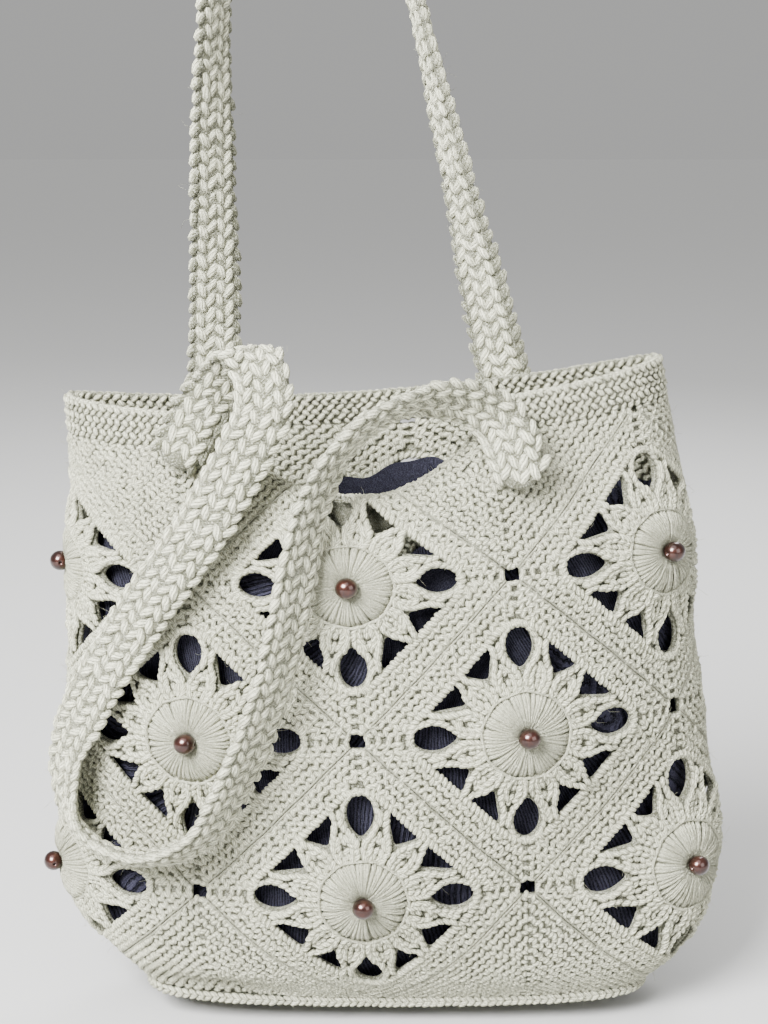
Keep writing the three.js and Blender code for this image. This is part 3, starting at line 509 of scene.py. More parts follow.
# Threads: one tube for each path, which is a row of points with the way out of the cloth.
# Radius is across the cloth, and thickness is the share of it that stands out.
# rise, one value for a whole tube, sets how much painted shade the yarn finish gives it
def layThreads(paths, outs, radius, sides, rise, pitch=5.0, thickness=1.0, closed=False):
    paths, outs = np.asarray(paths, float), np.asarray(outs, float)
    count, steps = paths.shape[:2]
    radius = np.broadcast_to(radius, (count, steps))
    ahead = unit(np.roll(paths, -1, 1) - np.roll(paths, 1, 1) if closed else np.gradient(paths, axis=1))
    aside = unit(np.cross(outs, ahead))
    up = np.cross(ahead, aside) * thickness
    angles = 2 * math.pi * np.arange(sides) / sides
    wide = radius[:, :, None, None]
    points = (paths[:, :, None] + aside[:, :, None] * (np.cos(angles)[:, None] * wide)
              + up[:, :, None] * (np.sin(angles)[:, None] * wide))
    walked = walkedAlong(paths) / pitch
    faces, uv = [], []
    for tube in range(count):
        first = tube * steps * sides
        faces += ringFaces(steps, sides, first, closed)
        for step in range(steps if closed else steps - 1):
            low = walked[tube, step]
            high = walked[tube, step + 1] if step < steps - 1 else low + walked[tube, 1]
            for side in range(sides):
                u, after = side / sides, (side + 1) / sides
                uv += [(u, low), (after, low), (after, high), (u, high)]
        if not closed:
            last = first + (steps - 1) * sides
            faces += [tuple(range(first + sides - 1, first - 1, -1)), tuple(range(last, last + sides))]
            uv += [(0.5, 0)] * (2 * sides)
    return makeMesh(points.reshape(-1, 3), faces, np.array(uv, float), rise, yarn)


def chaikin(outline):
    for _ in range(2):
        after = np.roll(outline, -1, 0)
        outline = np.stack([0.75 * outline + 0.25 * after, 0.25 * outline + 0.75 * after], 1).reshape(-1, 2)
    return outline


def inside(outline, points):
    x, y = points[:, 0], points[:, 1]
    within = np.zeros(len(points), bool)
    for a, b in zip(outline, np.roll(outline, -1, 0)):
        crosses = (a[1] > y) != (b[1] > y)
        slope = (b[0] - a[0]) / (b[1] - a[1] if b[1] != a[1] else 1e-9)
        within ^= crosses & (x < a[0] + (y - a[1]) * slope)
    return within


# A flat sheet with holes, cut into small triangles
def cutSheet(outline, holes, spacing):
    outlines = [np.asarray(outline, float), *holes]
    points, edges = [], []
    for loop in outlines:
        first = len(points)
        points += [tuple(p) for p in loop]
        edges += [(first + k, first + (k + 1) % len(loop)) for k in range(len(loop))]
    low, high = outlines[0].min(0), outlines[0].max(0)
    xs, ys = np.arange(low[0], high[0], spacing), np.arange(low[1], high[1], spacing * 0.87)
    grid = np.array([(x + (row % 2) * spacing / 2, y) for row, y in enumerate(ys) for x in xs])
    keep = inside(outlines[0], grid)
    rims = np.concatenate(outlines)
    keep &= np.min(np.linalg.norm(grid[:, None] - rims[None], axis=2), 1) > 0.5 * spacing
    for hole in holes:
        keep &= ~inside(hole, grid)
    points += [tuple(p) for p in grid[keep]]
    made = delaunay_2d_cdt([Vector(p) for p in points], edges, [], 0, 1e-5)
    flat = np.array([tuple(v) for v in made[0]])
    faces = np.array([f for f in made[2] if len(f) == 3])
    middle = flat[faces].mean(1)
    good = inside(outlines[0], middle)
    for hole in holes:
        good &= ~inside(hole, middle)
    faces = faces[good]
    a, b, c = (flat[faces[:, k]] for k in range(3))
    area = (b[:, 0] - a[:, 0]) * (c[:, 1] - a[:, 1]) - (b[:, 1] - a[:, 1]) * (c[:, 0] - a[:, 0])
    faces = faces[np.abs(area) > 1e-6]
    area = area[np.abs(area) > 1e-6]
    faces[area < 0] = faces[area < 0][:, ::-1]
    return flat, faces


# Gives a flat sheet its place on the wall, with an outer and an inner face
def sewSheet(flat, faces, spot, raised=None, turned=False):
    half = square["sheetHalf"]
    turn, level = spot(flat)
    high = half if raised is None else half + raised(flat)
    points = np.concatenate([onWall(turn, level, np.broadcast_to(high, len(flat))),
                             onWall(turn, level, np.full(len(flat), -half))])
    if turned:
        faces = faces[:, ::-1]
    count = len(flat)
    edges = {}
    for face in faces.tolist():
        for k in range(3):
            a, b = face[k], face[(k + 1) % 3]
            if edges.pop((b, a), None) is None:
                edges[(a, b)] = True
    allFaces = faces.tolist() + (faces[:, ::-1] + count).tolist()
    allFaces += [(b, a, a + count, b + count) for a, b in edges]
    uv = np.concatenate([flat, flat]) / 5.6
    # painted shade: the outer sheet between the stitches is painted dark, the raised disc lighter, the inner
    # face somewhat dark and the cut edges at the holes darkest
    under = np.full(count, -0.5) if raised is None else np.where(high > half + 0.05, 0.3, -0.6)
    within = np.full(count, -0.15)
    cutEdge = list({corner for edge in edges for corner in edge})
    under[cutEdge] = within[cutEdge] = -0.8
    return makeMesh(points, allFaces, uv, np.concatenate([under, within]), yarn)


# Lobes on the wall: flat places, the way that each one points and its length, width and thickness
def lobesAt(spot, flat, direction, out, size, inner=False):
    flat, direction = np.asarray(flat, float), unit(np.asarray(direction, float))
    count = len(flat)
    out = np.broadcast_to(np.asarray(out, float), count)
    turn, level = spot(flat)
    place = onWall(turn, level, out)
    ahead = onWall(*spot(flat + 0.4 * direction), out) - onWall(*spot(flat - 0.4 * direction), out)
    normal = wallNormal(turn, level) * (-1 if inner else 1)
    return place, unit(ahead), normal, np.broadcast_to(np.asarray(size, float), (count, 3))


def rotated(vectors, angle):
    angle = np.asarray(angle, float)
    cosine, sine = np.cos(angle), np.sin(angle)
    return np.stack([vectors[:, 0] * cosine - vectors[:, 1] * sine,
                     vectors[:, 0] * sine + vectors[:, 1] * cosine], 1)


# A row of crochet stitches along a straight flat line: two lobes for each, leaning to each other
def stitchRow(spot, start, end, stitch, out, inner=False):
    start, end = np.asarray(start, float), np.asarray(end, float)
    length = np.linalg.norm(end - start)
    count = int(length / stitch["pitch"])
    if count < 1:
        return []
    along = (end - start) / length
    middle = (np.arange(count) + 0.5) * length / count
    middle = middle + draw.normal(0, 0.16, count)
    across = np.array([-along[1], along[0]])
    lobes = []
    for side in (-1, 1):
        lift = draw.normal(0, 0.24, count)[:, None]
        flat = start + along * (middle + side * 0.24 * stitch["pitch"])[:, None]
        flat = flat + across * (lift + side * 0.2)
        lean = -side * stitch["lean"] + draw.normal(0, 0.26, count)
        direction = rotated(np.broadcast_to(across, (count, 2)), lean)
        lobes.append(lobesAt(spot, flat, direction, out + draw.normal(0, 0.12, count), stitch["size"], inner))
    return lobes


# Loose fibres of the yarn that stand off some of the stitches
fuzz = {"perStitch": 0.13, "length": (1.6, 5.0), "radius": 0.05, "spread": 0.7}


def layFibres(lobes, more=1.0):
    place, along, out, size = gathered(lobes)
    count = int(len(place) * fuzz["perStitch"] * more)
    pick = draw.integers(0, len(place), count)
    ahead = unit(out[pick] + draw.normal(0, fuzz["spread"], (count, 3)))
    away = np.sum(ahead * out[pick], 1, keepdims=True)
    ahead = unit(ahead + out[pick] * np.maximum(0.25 - away, 0))
    length = draw.uniform(*fuzz["length"], count)[:, None]
    start = place[pick] + ahead * size[pick, 2:] * 0.3
    sway = draw.normal(0, 0.35, (count, 3)) * length
    paths = np.stack([start, start + ahead * length * 0.5, start + ahead * length * 0.85 + sway], 1)
    side = unit(np.cross(ahead, along[pick] + 0.01))
    # painted shade: the fibres are painted part way towards the shade colour
    return layThreads(paths, np.repeat(side[:, None], 3, 1), fuzz["radius"], 3, 0.4)


def finishPiece(name, meshes, nodes):
    objects = [bpy.data.objects.new(name, mesh) for mesh in meshes]
    for part in objects:
        bpy.context.scene.collection.objects.link(part)
    if len(objects) > 1:
        with bpy.context.temp_override(active_object=objects[0], object=objects[0],
                                       selected_objects=objects, selected_editable_objects=objects):
            bpy.ops.object.join()
    piece = objects[0]
    piece.name = piece.data.name = name
    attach(piece, "root")
    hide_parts(*nodes)


# Squares. Flat places are in millimetres from the square's centre, its corners on the axes.
square = {
    "sheetHalf": 0.9, "sheetSpacing": 4.6, "cornerCut": 3.2, "rope": 35.7, "ropeCorner": 12.5,
    "rows": (38.5, 41.6, 44.6), "shortRow": (36.6, 27, 35.8), "seam": 46.05, "seamEnd": 43, "seamSteps": 26,
    "stitch": {"pitch": 3.7, "lean": 0.62, "size": (4.2, 2.5, 2.4)},
    "ropeStitch": {"pitch": 2.2, "lean": 0.95, "size": (4.6, 2.7, 3.0)},
    "petalStitch": {"pitch": 2.5, "lean": 0.36, "size": (5.0, 2.8, 3.1)},
}
halfSquare = {
    "rowPitch": 3.2, "stitch": {"pitch": 3.5, "lean": 0.6, "size": (3.7, 2.35, 2.2)},
    "innerPitch": 3.7, "innerStitch": {"pitch": 4.0, "lean": 0.7, "size": (4.4, 2.7, 2.3)},
}


def squareSpot(turn, level):
    wide = np.linalg.norm(wallMiddle(turn + 0.2, level) - wallMiddle(turn - 0.2, level))
    stretch = wide / 0.4 / squareReach

    def spot(flat):
        x, y = flat[:, 0], flat[:, 1]
        keep = 1 - smooth((np.hypot(x, y) - bag["discRadius"]) / (bag["frameInner"] - bag["discRadius"]))
        scale = 1 + (1 / stretch - 1) * keep
        return turn + x * scale / squareReach, level + y / squareReach
    return spot


def polar(radius, angle):
    return np.array([radius * math.cos(angle), radius * math.sin(angle)])


# The twelve gaps between the petals: pairs of radius and degrees from the gap's own middle line
cornerGap = [(26.8, 0), (29.5, -5.5), (33.5, -8.6), (38, -8.0), (42, -5.2), (44.3, 0),
             (42, 5.2), (38, 8.0), (33.5, 8.6), (29.5, 5.5)]
sideGap = [(26.8, 0), (30.2, 6.8), (33.0, 10.2), (34.8, 9.4), (35.5, 3), (36.8, -5), (38.1, -10.2),
           (36.6, -11.6), (33.2, -8.6), (29.8, -4.6)]


def gapOutline(index):
    middle = index * math.pi / 6
    if index % 3 == 0:
        corners = [polar(r, middle + math.radians(a)) for r, a in cornerGap]
    else:
        side = 1 if index % 3 == 1 else -1
        corners = [polar(r, middle + side * math.radians(a)) for r, a in sideGap]
        corners = corners if side > 0 else corners[::-1]
    corners = np.array(corners)
    wider = 1.05 if index % 3 == 0 else 1.14
    return chaikin(corners.mean(0) + (corners - corners.mean(0)) * wider)


def discHeight(radius):
    dome = 2.3 * smooth((17.8 - radius) / 5) + 0.5 * smooth((13 - radius) / 8)
    return dome - 2.4 * smooth((6.5 - radius) / 5.5)


def clippedDiamond(reach, cut):
    near = reach - cut
    corners = [(near, -cut), (near, cut), (cut, near), (-cut, near), (-near, cut), (-near, -cut),
               (-cut, -near), (cut, -near)]
    outline = []
    for a, b in zip(corners, corners[1:] + corners[:1]):
        a, b = np.array(a), np.array(b)
        parts = max(int(np.linalg.norm(b - a) / 3.6), 1)
        outline += [a + (b - a) * k / parts for k in range(parts)]
    return np.array(outline)


def ropePath(half, corner, pitch):
    dense = []
    for side in range(4):
        angle = math.pi / 4 + side * math.pi / 2
        normal, along = polar(1, angle), polar(1, angle + math.pi / 2)
        for u in np.linspace(-(half - corner), half - corner, 60):
            dense.append(normal * half + along * u)
        centre = (normal + along) * (half - corner)
        for a in np.linspace(0, math.pi / 2, 30)[1:-1]:
            dense.append(centre + corner * (normal * math.cos(a) + along * math.sin(a)))
    dense = np.array(dense + dense[:1])
    walked = walkedAlong(dense)
    count = int(walked[-1] / pitch)
    wanted = np.arange(count) * walked[-1] / count
    path = np.stack([np.interp(wanted, walked, dense[:, k]) for k in (0, 1)], 1)
    ahead = unit(np.roll(path, -1, 0) - np.roll(path, 1, 0))
    return path, ahead


# One petal: a plump braid down both sides that meet at the tip, round a small hollow
def petalLobes(spot, index, face=1):
    middle = (index + 0.5) * math.pi / 6
    toFrame = index % 3 == 1
    tip = [(27.5, 4.0), (31, 2.1), (34.2, 0.9)]
    if not toFrame:
        tip = [(27.5, 3.9), (30.8, 2.2), (33.5, 1.3), (38.5, 1.1)]
    outline = np.array([(17.9, 3.1), (20.5, 4.4), (24, 4.9), *tip])  # radius and half width
    bend = 0 if toFrame else (-1 if index % 3 == 0 else 1) * 0.06
    stitch = square["petalStitch"]
    radii, halves = outline.T
    walked = walkedAlong(outline)
    count = int(walked[-1] / stitch["pitch"])
    wanted = (np.arange(count) + 0.5) * walked[-1] / count
    r, w = np.interp(wanted, walked, radii), np.interp(wanted, walked, halves)
    lobes = []
    forward, aside = polar(1, middle), polar(1, middle + math.pi / 2)
    twist = draw.normal(0, 0.05)

    def flatAt(r, w):
        lean = bend * np.maximum(r - 30, 0) + twist * (r - 18) / 3
        return forward * np.asarray(r)[:, None] + aside * (np.asarray(w) + lean)[:, None]

    for side in (-1, 1):
        for inset, lean in ((0.0, 1), (2.1, -1)):
            keep = w - inset > (0.9 if inset else 0)
            flat = flatAt(r, side * (w - inset))[keep] + draw.normal(0, 0.12, (keep.sum(), 2))
            further = flatAt(r + 0.5, side * np.interp(wanted + 0.5, walked, halves))
            ahead = unit(further - flatAt(r, side * w))[keep]
            direction = rotated(ahead, side * lean * stitch["lean"] + draw.normal(0, 0.1, keep.sum()))
            out = face * (2.1 - 0.15 * inset + draw.normal(0, 0.1, keep.sum()))
            lobes.append(lobesAt(spot, flat, direction, out, stitch["size"], face < 0))
    inner = np.array([20.0, 22.3, 26.6, 28.8] if draw.random() < 0.6 else [20.0, 22.2, 24.5, 26.7, 28.8])
    flat = flatAt(inner, draw.normal(0, 0.3, len(inner)))
    direction = rotated(np.broadcast_to(forward, (len(inner), 2)), draw.normal(0, 0.5, len(inner)))
    lobes.append(lobesAt(spot, flat, direction, face * 1.6, (3.8, 2.6, 2.3), face < 0))
    return lobes


# The disc: threads from its middle to its edge, and a cord round it
disc = {"threads": 60, "steps": 7, "from": 1.6, "to": 17.4, "cord": 18.1, "cordSteps": 44, "cordRadius": 0.72}


def discMeshes(spot):
    count, steps = disc["threads"], disc["steps"]
    radii = np.linspace(disc["from"], disc["to"], steps)
    angles = 2 * math.pi * np.arange(count) / count + draw.normal(0, 0.018, count)
    angles = angles[:, None] + draw.normal(0, 0.022, count)[:, None] * (radii - 9) / 9
    turn, level = spot(np.stack([radii * np.cos(angles), radii * np.sin(angles)], 2).reshape(-1, 2))
    out = 1.4 + discHeight(np.tile(radii, count)) + np.repeat(draw.normal(0, 0.10, count), steps)
    # painted shade: the disc threads are painted part way towards the shade colour, the cord less so
    threads = layThreads(onWall(turn, level, out).reshape(count, steps, 3),
                         wallNormal(turn, level).reshape(count, steps, 3),
                         1.17 * math.pi * radii / count + 0.12, 4, 0.42, pitch=12.0, thickness=0.95)
    steps = disc["cordSteps"]
    angles = np.linspace(0, 2 * math.pi, steps, endpoint=False)
    radii = disc["cord"] + 0.28 * np.sin(9 * angles + draw.uniform(0, 6))
    turn, level = spot(np.stack([radii * np.cos(angles), radii * np.sin(angles)], 1))
    cord = layThreads(onWall(turn, level, np.full(steps, 2.5))[None], wallNormal(turn, level)[None],
                      disc["cordRadius"], 5, 0.6, pitch=4.0, closed=True)
    return [threads, cord]


def squareLobes(spot, rowsInside=False):
    lobes = []
    rope = square["ropeStitch"]
    path, ahead = ropePath(square["rope"], square["ropeCorner"], rope["pitch"])
    ropeWay = rotated(ahead, -rope["lean"] + draw.normal(0, 0.1, len(path)))
    lobes.append(lobesAt(spot, path, ropeWay, 1.5, rope["size"]))
    for side in range(4):
        angle = math.pi / 4 + side * math.pi / 2
        normal, along = polar(1, angle), polar(1, angle + math.pi / 2)
        for row in square["rows"]:
            ends = [normal * row - along * (row - 0.6), normal * row + along * (row - 0.6)]
            lobes += stitchRow(spot, ends[0], ends[1], square["stitch"], 1.35)
            if rowsInside:
                lobes += stitchRow(spot, ends[0], ends[1], halfSquare["innerStitch"], -1.35, True)
        row, near, far = square["shortRow"]
        for sign in (-1, 1):
            lobes += stitchRow(spot, normal * row + along * sign * near, normal * row + along * sign * far,
                               square["stitch"], 1.2)
        corner = holes[3 * side]
        edge = corner[::2] + 1.5 * unit(corner[::2] - corner.mean(0))
        keep = np.hypot(edge[:, 0], edge[:, 1]) > 30
        direction = rotated(unit(np.roll(edge, -1, 0) - np.roll(edge, 1, 0)), 0.4)[keep]
        lobes.append(lobesAt(spot, edge[keep], direction, 1.6, (4.6, 2.5, 2.5)))
    for index in range(12):
        lobes += petalLobes(spot, index)
    if rowsInside:
        lobes.append(lobesAt(spot, path, ropeWay, -1.4, rope["size"], True))
        for index in range(1, 5):
            lobes += petalLobes(spot, index, -1)
    return lobes


# Thin sewing threads along the seams, on the sides at these angles
def seamThreads(spot, sides):
    paths, outs = [], []
    along = np.linspace(-square["seamEnd"], square["seamEnd"], square["seamSteps"])[:, None]
    away = square["seam"] + 0.12 * np.sin(along * 2.1)
    for angle in sides:
        flat = polar(1, angle) * away + polar(1, angle + math.pi / 2) * along
        turn, level = spot(flat)
        paths.append(onWall(turn, level, np.full(len(flat), 1.75)))
        outs.append(wallNormal(turn, level))
    # painted shade: the seam threads are painted part way towards the shade colour
    return layThreads(paths, outs, 0.5, 4, 0.35, pitch=3.0)


sideNames = ["front", "right", "back", "left"]
cornerNames = ["front_right", "back_right", "back_left", "front_left"]
holes = [gapOutline(index) for index in range(12)]
squareOutline = clippedDiamond(squareReach - 0.1, square["cornerCut"])
squareFlat, squareFaces = cutSheet(squareOutline, holes, square["sheetSpacing"])
fourSides = [math.pi / 4 + side * math.pi / 2 for side in range(4)]


def discRaised(flat):
    radius = np.hypot(flat[:, 0], flat[:, 1])
    return 0.75 * discHeight(radius) * (radius < 18)


def makeSquare(name, turn, level, rowsInside):
    spot = squareSpot(turn, level)
    lobes = squareLobes(spot, rowsInside)
    meshes = [
        sewSheet(squareFlat, squareFaces, spot, raised=discRaised),
        layStitches(name, lobes, 5, 0.2, seed=10 * (4 - level) + turn // 2),
        layFibres(lobes),
        seamThreads(spot, fourSides),
        *discMeshes(spot),
    ]
    finishPiece("crochet_" + name, meshes, [name])


squarePlaces = []  # name, turn and level of each square's middle
for column, (side, corner) in enumerate(zip(sideNames, cornerNames)):
    squarePlaces += [("top_" + side, 2 * column, 3), ("middle_" + corner, 2 * column + 1, 2),
                     ("bottom_" + side, 2 * column, 1)]
for label, turn, level in squarePlaces:
    makeSquare("square_" + label, turn, level, rowsInside=label == "top_back")  # seen through the mouth
print("squares ready")

# Half squares: rows that run along both slants and meet on a line down the middle
halfOutline = [tuple(point) for point in squareOutline if point[1] > 0.05]
halfOutline += [(x, 0.05) for x in np.linspace(-58, 58, 33)]
halfFlat, halfFaces = cutSheet(halfOutline, [], square["sheetSpacing"])


def makeHalf(name, turn, foot, pointing, seed, rowsInside):
    def spot(flat):
        return turn + flat[:, 0] / squareReach, foot + pointing * flat[:, 1] / squareReach

    lobes = []
    reach = squareReach / math.sqrt(2)
    sheets = [(halfSquare["rowPitch"], halfSquare["stitch"], 1.3),
              (halfSquare["innerPitch"], halfSquare["innerStitch"], -1.3)]
    for side in (-1, 1):
        normal = np.array([side, 1]) / math.sqrt(2)
        along = np.array([-side, 1]) / math.sqrt(2)
        for pitch, stitch, out in sheets[:2 if rowsInside else 1]:
            for row in np.arange(reach - 1.9, 1.5, -pitch):
                ends = normal * row - along * (row - 0.8), normal * row + along * (row - 0.3)
                lobes += stitchRow(spot, ends[0], ends[1], stitch, out, out < 0)
    meshes = [
        sewSheet(halfFlat, halfFaces, spot, turned=pointing < 0),
        layStitches(name, lobes, 5, 0.2, seed),
        layFibres(lobes),
        seamThreads(spot, fourSides[:2]),
    ]
    finishPiece("crochet_" + name, meshes, [name])


for column, corner in enumerate(cornerNames):
    makeHalf("triangle_top_" + corner, 2 * column + 1, rimLevel, -1, 50 + column, column in (1, 2))
    makeHalf("triangle_bottom_" + corner, 2 * column + 1, 0, 1, 60 + column, False)
print("half squares ready")

# Rim band: three ridges of two rows of stitches, inside and outside
band = {
    "around": 240, "up": 5, "half": 1.1, "rowPitch": 3.0, "pitch": 3.75, "size": (4.0, 2.45, 2.3),
    "lean": 0.7, "edge": 17.4, "edgePitch": 3.0, "edgeSize": (4.8, 2.6, 3.6),
}


def bandSpot(flat):
    return flat[:, 0] / squareReach, rimLevel + flat[:, 1] / squareReach


def makeBand():
    whole = fullTurn * squareReach
    count = int(whole / band["pitch"])
    lobes = []
    for row in range(6):
        height = 1.4 + row * band["rowPitch"]
        x = (np.arange(count) + 0.5 * (row % 2)) * whole / count + draw.normal(0, 0.15, count)
        flat = np.stack([x, height + draw.normal(0, 0.12, count)], 1)
        lean = band["lean"] * (1 if row % 2 else -1) + draw.normal(0, 0.14, count)
        direction = rotated(np.broadcast_to([0.0, 1.0], (count, 2)), lean)
        ridge = 0.35 * (1 if row % 2 else -0.4)
        for side, inner in ((1, False), (-1, True)):
            lobes.append(lobesAt(bandSpot, flat, direction, side * (1.5 + ridge), band["size"], inner))
    count = int(whole / band["edgePitch"])
    flat = np.stack([np.arange(count) * whole / count, np.full(count, band["edge"])], 1)
    direction = rotated(np.broadcast_to([1.0, 0.0], (count, 2)), 0.35 + draw.normal(0, 0.1, count))
    lobes.append(lobesAt(bandSpot, flat, direction, 0.0, band["edgeSize"]))
    turns = np.linspace(0, fullTurn, band["around"], endpoint=False)
    levels = rimLevel + np.linspace(0.1, 17.2, band["up"]) / squareReach
    loop = [(level, band["half"]) for level in levels] + [(level, -band["half"]) for level in levels[::-1]]
    ones = np.ones(len(turns))
    points = np.concatenate([onWall(turns, ones * level, ones * out) for level, out in loop])
    faces = ringFaces(len(loop), len(turns), closed=True)
    uv = np.array([(turn * 20, level * 20) for level, _ in loop for turn in turns])
    # painted shade: the sheet under the band's stitches gets a low rise, so it is painted nearly as dark as
    # the shade colour
    meshes = [makeMesh(points, faces, uv, -0.3, yarn), layStitches("rim_band", lobes, 5, 0.15, 71),
              layFibres(lobes)]
    finishPiece("crochet_rim_band", meshes, ["rim_band"])


makeBand()
print("rim band ready")

# Base: a flat panel with rows of stitches under it and a corded edge
base = {
    "thickness": 3.1, "around": 96, "rings": 6, "rowPitch": 4.7, "pitch": 6.0, "size": (5.4, 3.0, 2.0),
    "cordPitch": 3.1, "cordSize": (4.8, 2.4, 2.5),
}


def makeBase():
    around = base["around"]
    shift = sectionAt(0)[5] * bag["width"]
    turns = fullTurn * np.arange(around) / around
    normal = wallNormal(turns, np.zeros(around))
    normal[:, 2] = 0
    rim = plainPoint(turns, 0) + normal * 1.2
    centre = rim.mean(0)

    def atHeight(flat, height):
        return np.column_stack([flat[:, :2], height - sagAt(flat[:, 0] - shift, 0)])

    shares = np.linspace(1, 0.06, base["rings"])
    points, faces = [], []
    layer = around * len(shares) + 1
    for side, height in enumerate((0.5, base["thickness"] - 0.3)):
        points += [atHeight(centre + (rim - centre) * share, height) for share in shares]
        points.append(atHeight(centre[None], height))
        last = side * layer + layer - 1
        made = ringFaces(len(shares), around, side * layer)
        made += [(last - around + i, last - around + (i + 1) % around, last) for i in range(around)]
        faces += made if side else [face[::-1] for face in made]
    points = np.concatenate(points)
    faces += [(i, (i + 1) % around, layer + (i + 1) % around, layer + i) for i in range(around)]
    lobes = []
    outline = rim[:, :2]
    low, high = outline.min(0), outline.max(0)
    for row, y in enumerate(np.arange(low[1] + 2, high[1] - 1, base["rowPitch"])):
        x = np.arange(low[0] + 2, high[0] - 1, base["pitch"] / 2) + (row % 2) * 0.8
        flat = np.stack([x, np.full(len(x), y)], 1)
        flat = flat[inside(outline, flat)]
        count = len(flat)
        lean = np.where(np.arange(count) % 2, 0.55, -0.55) + draw.normal(0, 0.12, count)
        direction = np.column_stack([rotated(np.broadcast_to([0.0, 1.0], (count, 2)), lean), np.zeros(count)])
        lobes.append((atHeight(flat, 0.3), direction, np.tile([0.0, 0.0, -1.0], (count, 1)),
                      np.tile(base["size"], (count, 1))))
    # the cord round the edge, in two rows
    closed = np.vstack([outline, outline[:1]])
    walked = walkedAlong(closed)
    count = int(walked[-1] / base["cordPitch"])
    wanted = np.arange(count) * walked[-1] / count
    flat = np.stack([np.interp(wanted, walked, closed[:, k]) for k in (0, 1)], 1)
    ahead = unit(np.roll(flat, -1, 0) - np.roll(flat, 1, 0))
    outward = np.column_stack([ahead[:, 1], -ahead[:, 0], np.zeros(count)])
    for height, lean in ((0.6, 0.5), (2.4, -0.5)):
        along = np.column_stack([ahead * math.cos(lean), np.full(count, math.sin(lean))])
        lobes.append((atHeight(flat, height) + 0.7 * outward, along, outward,
                      np.tile(base["cordSize"], (count, 1))))
    # painted shade: the panel under the base's stitches gets a low rise, so it is painted in the shade colour
    meshes = [makeMesh(points, faces, points[:, :2] / 3.2, -0.5, yarn),
              layStitches("base_panel", lobes, 5, 0.15, 72), layFibres(lobes)]
    finishPiece("crochet_base_panel", meshes, ["base_panel"])


makeBase()
print("base ready")

# Straps: stations as on the wall (turn, level, out) or in space (None, across, back, up), then
# the way that one face of the strap looks there
frontStations = [
    (-0.98, 3.86, 7.7, 0, 1, 0), (-0.81, 4.24, 8, 0, 1, 0), (-0.60, 4.58, 9, 0, 0.8, 0.6),
    (-0.46, 4.75, 14, 0, 0, 1), (-0.35, 4.56, 20, 0, -0.8, 0.6), (-0.37, 4.24, 18, 0, -1, 0.1),
    (-0.53, 3.90, 15.5, 0, -1, 0), (-0.80, 3.42, 12.5, -0.1, -1, 0), (-1.17, 2.88, 11, -0.2, -1, 0),
    (-1.53, 2.28, 11, -0.45, -0.9, 0), (-1.74, 1.79, 12.5, -0.8, -0.6, -0.2),
    (-1.70, 1.45, 14, -0.6, -0.5, -0.6), (-1.48, 1.29, 15, -0.2, -0.5, -0.85),
    (-1.19, 1.28, 15.5, 0.2, -0.5, -0.85), (-0.90, 1.45, 15.5, 0.5, -0.55, -0.6),
    (-0.66, 1.86, 15.5, 0.65, -0.7, -0.3), (-0.45, 2.39, 17.5, 0.7, -0.7, -0.2),
    (-0.30, 2.95, 18, 0.7, -0.7, -0.2), (-0.13, 3.55, 17.5, 0.7, -0.6, -0.4),
    (0.12, 3.99, 17, 0.5, -0.45, -0.75), (0.45, 4.23, 17, 0.15, -0.45, -0.9),
    (0.82, 4.28, 13, -0.1, -0.75, -0.6), (1.08, 4.08, 8.5, -0.1, -1, -0.15),
    (1.14, 3.81, 7.6, 0, -1, 0), (1.13, 3.58, 7.4, 0, -1, 0),
]
backStations = [
    (5.10, 3.55, 5.9, 0, 1, 0), (5.10, 3.85, 5.8, 0, 1, 0), (5.11, 4.20, 5.9, 0, 1, 0),
    (None, -71, 17, 285, -0.30, 0.95, 0), (None, -70, 13, 345, -0.65, 0.75, 0),
    (None, -68, 8, 405, -0.87, 0.50, 0), (None, -61, 4, 455, -0.95, 0.30, 0.15),
    (None, -50, 1, 492, -0.80, 0.10, 0.60), (None, -32, 0, 512, 0, 0, 1),
    (None, -14, 1, 494, 0.80, 0.10, 0.60), (None, 1, 4, 455, 0.98, 0.10, 0.20),
    (None, 14, 8, 405, 0.98, 0.18, 0.15), (None, 29, 13, 345, 0.86, 0.50, 0.10),
    (None, 44, 17, 285, 0.40, 0.92, 0), (3.40, 4.20, 5.9, 0.05, 1, 0),
    (3.36, 3.85, 5.8, 0, 1, 0), (3.32, 3.55, 5.9, 0, 1, 0),
]
strap = {"rounding": 9.7, "pitch": 6.1, "core": (9.9, 2.2), "coreStep": 4, "coreSides": 8}
# columns of the strap, in three pairs that lean together: place across, lean, size, place along
# as a share of the pitch
strapColumns = [
    (-9.2, 0.42, (7.9, 3.8, 4.5), 0.0), (-5.7, -0.5, (7.4, 3.9, 3.1), 0.3),
    (-1.95, 0.5, (7.4, 3.9, 3.1), 0.65), (1.95, -0.5, (7.4, 3.9, 3.1), 0.6),
    (5.7, 0.5, (7.4, 3.9, 3.1), 0.2), (9.2, -0.42, (7.9, 3.8, 4.5), 0.5),
]


def stationPoint(station):
    if station[0] is None:
        return np.array(station[1:4], float)
    turn, level, out = station[:3]
    step = 0.02
    along = plainPoint(turn + step, level) - plainPoint(turn - step, level)
    up = plainPoint(turn, level + step) - plainPoint(turn, level - step)
    return plainPoint(turn, level) + unit(np.cross(along, up)) * out


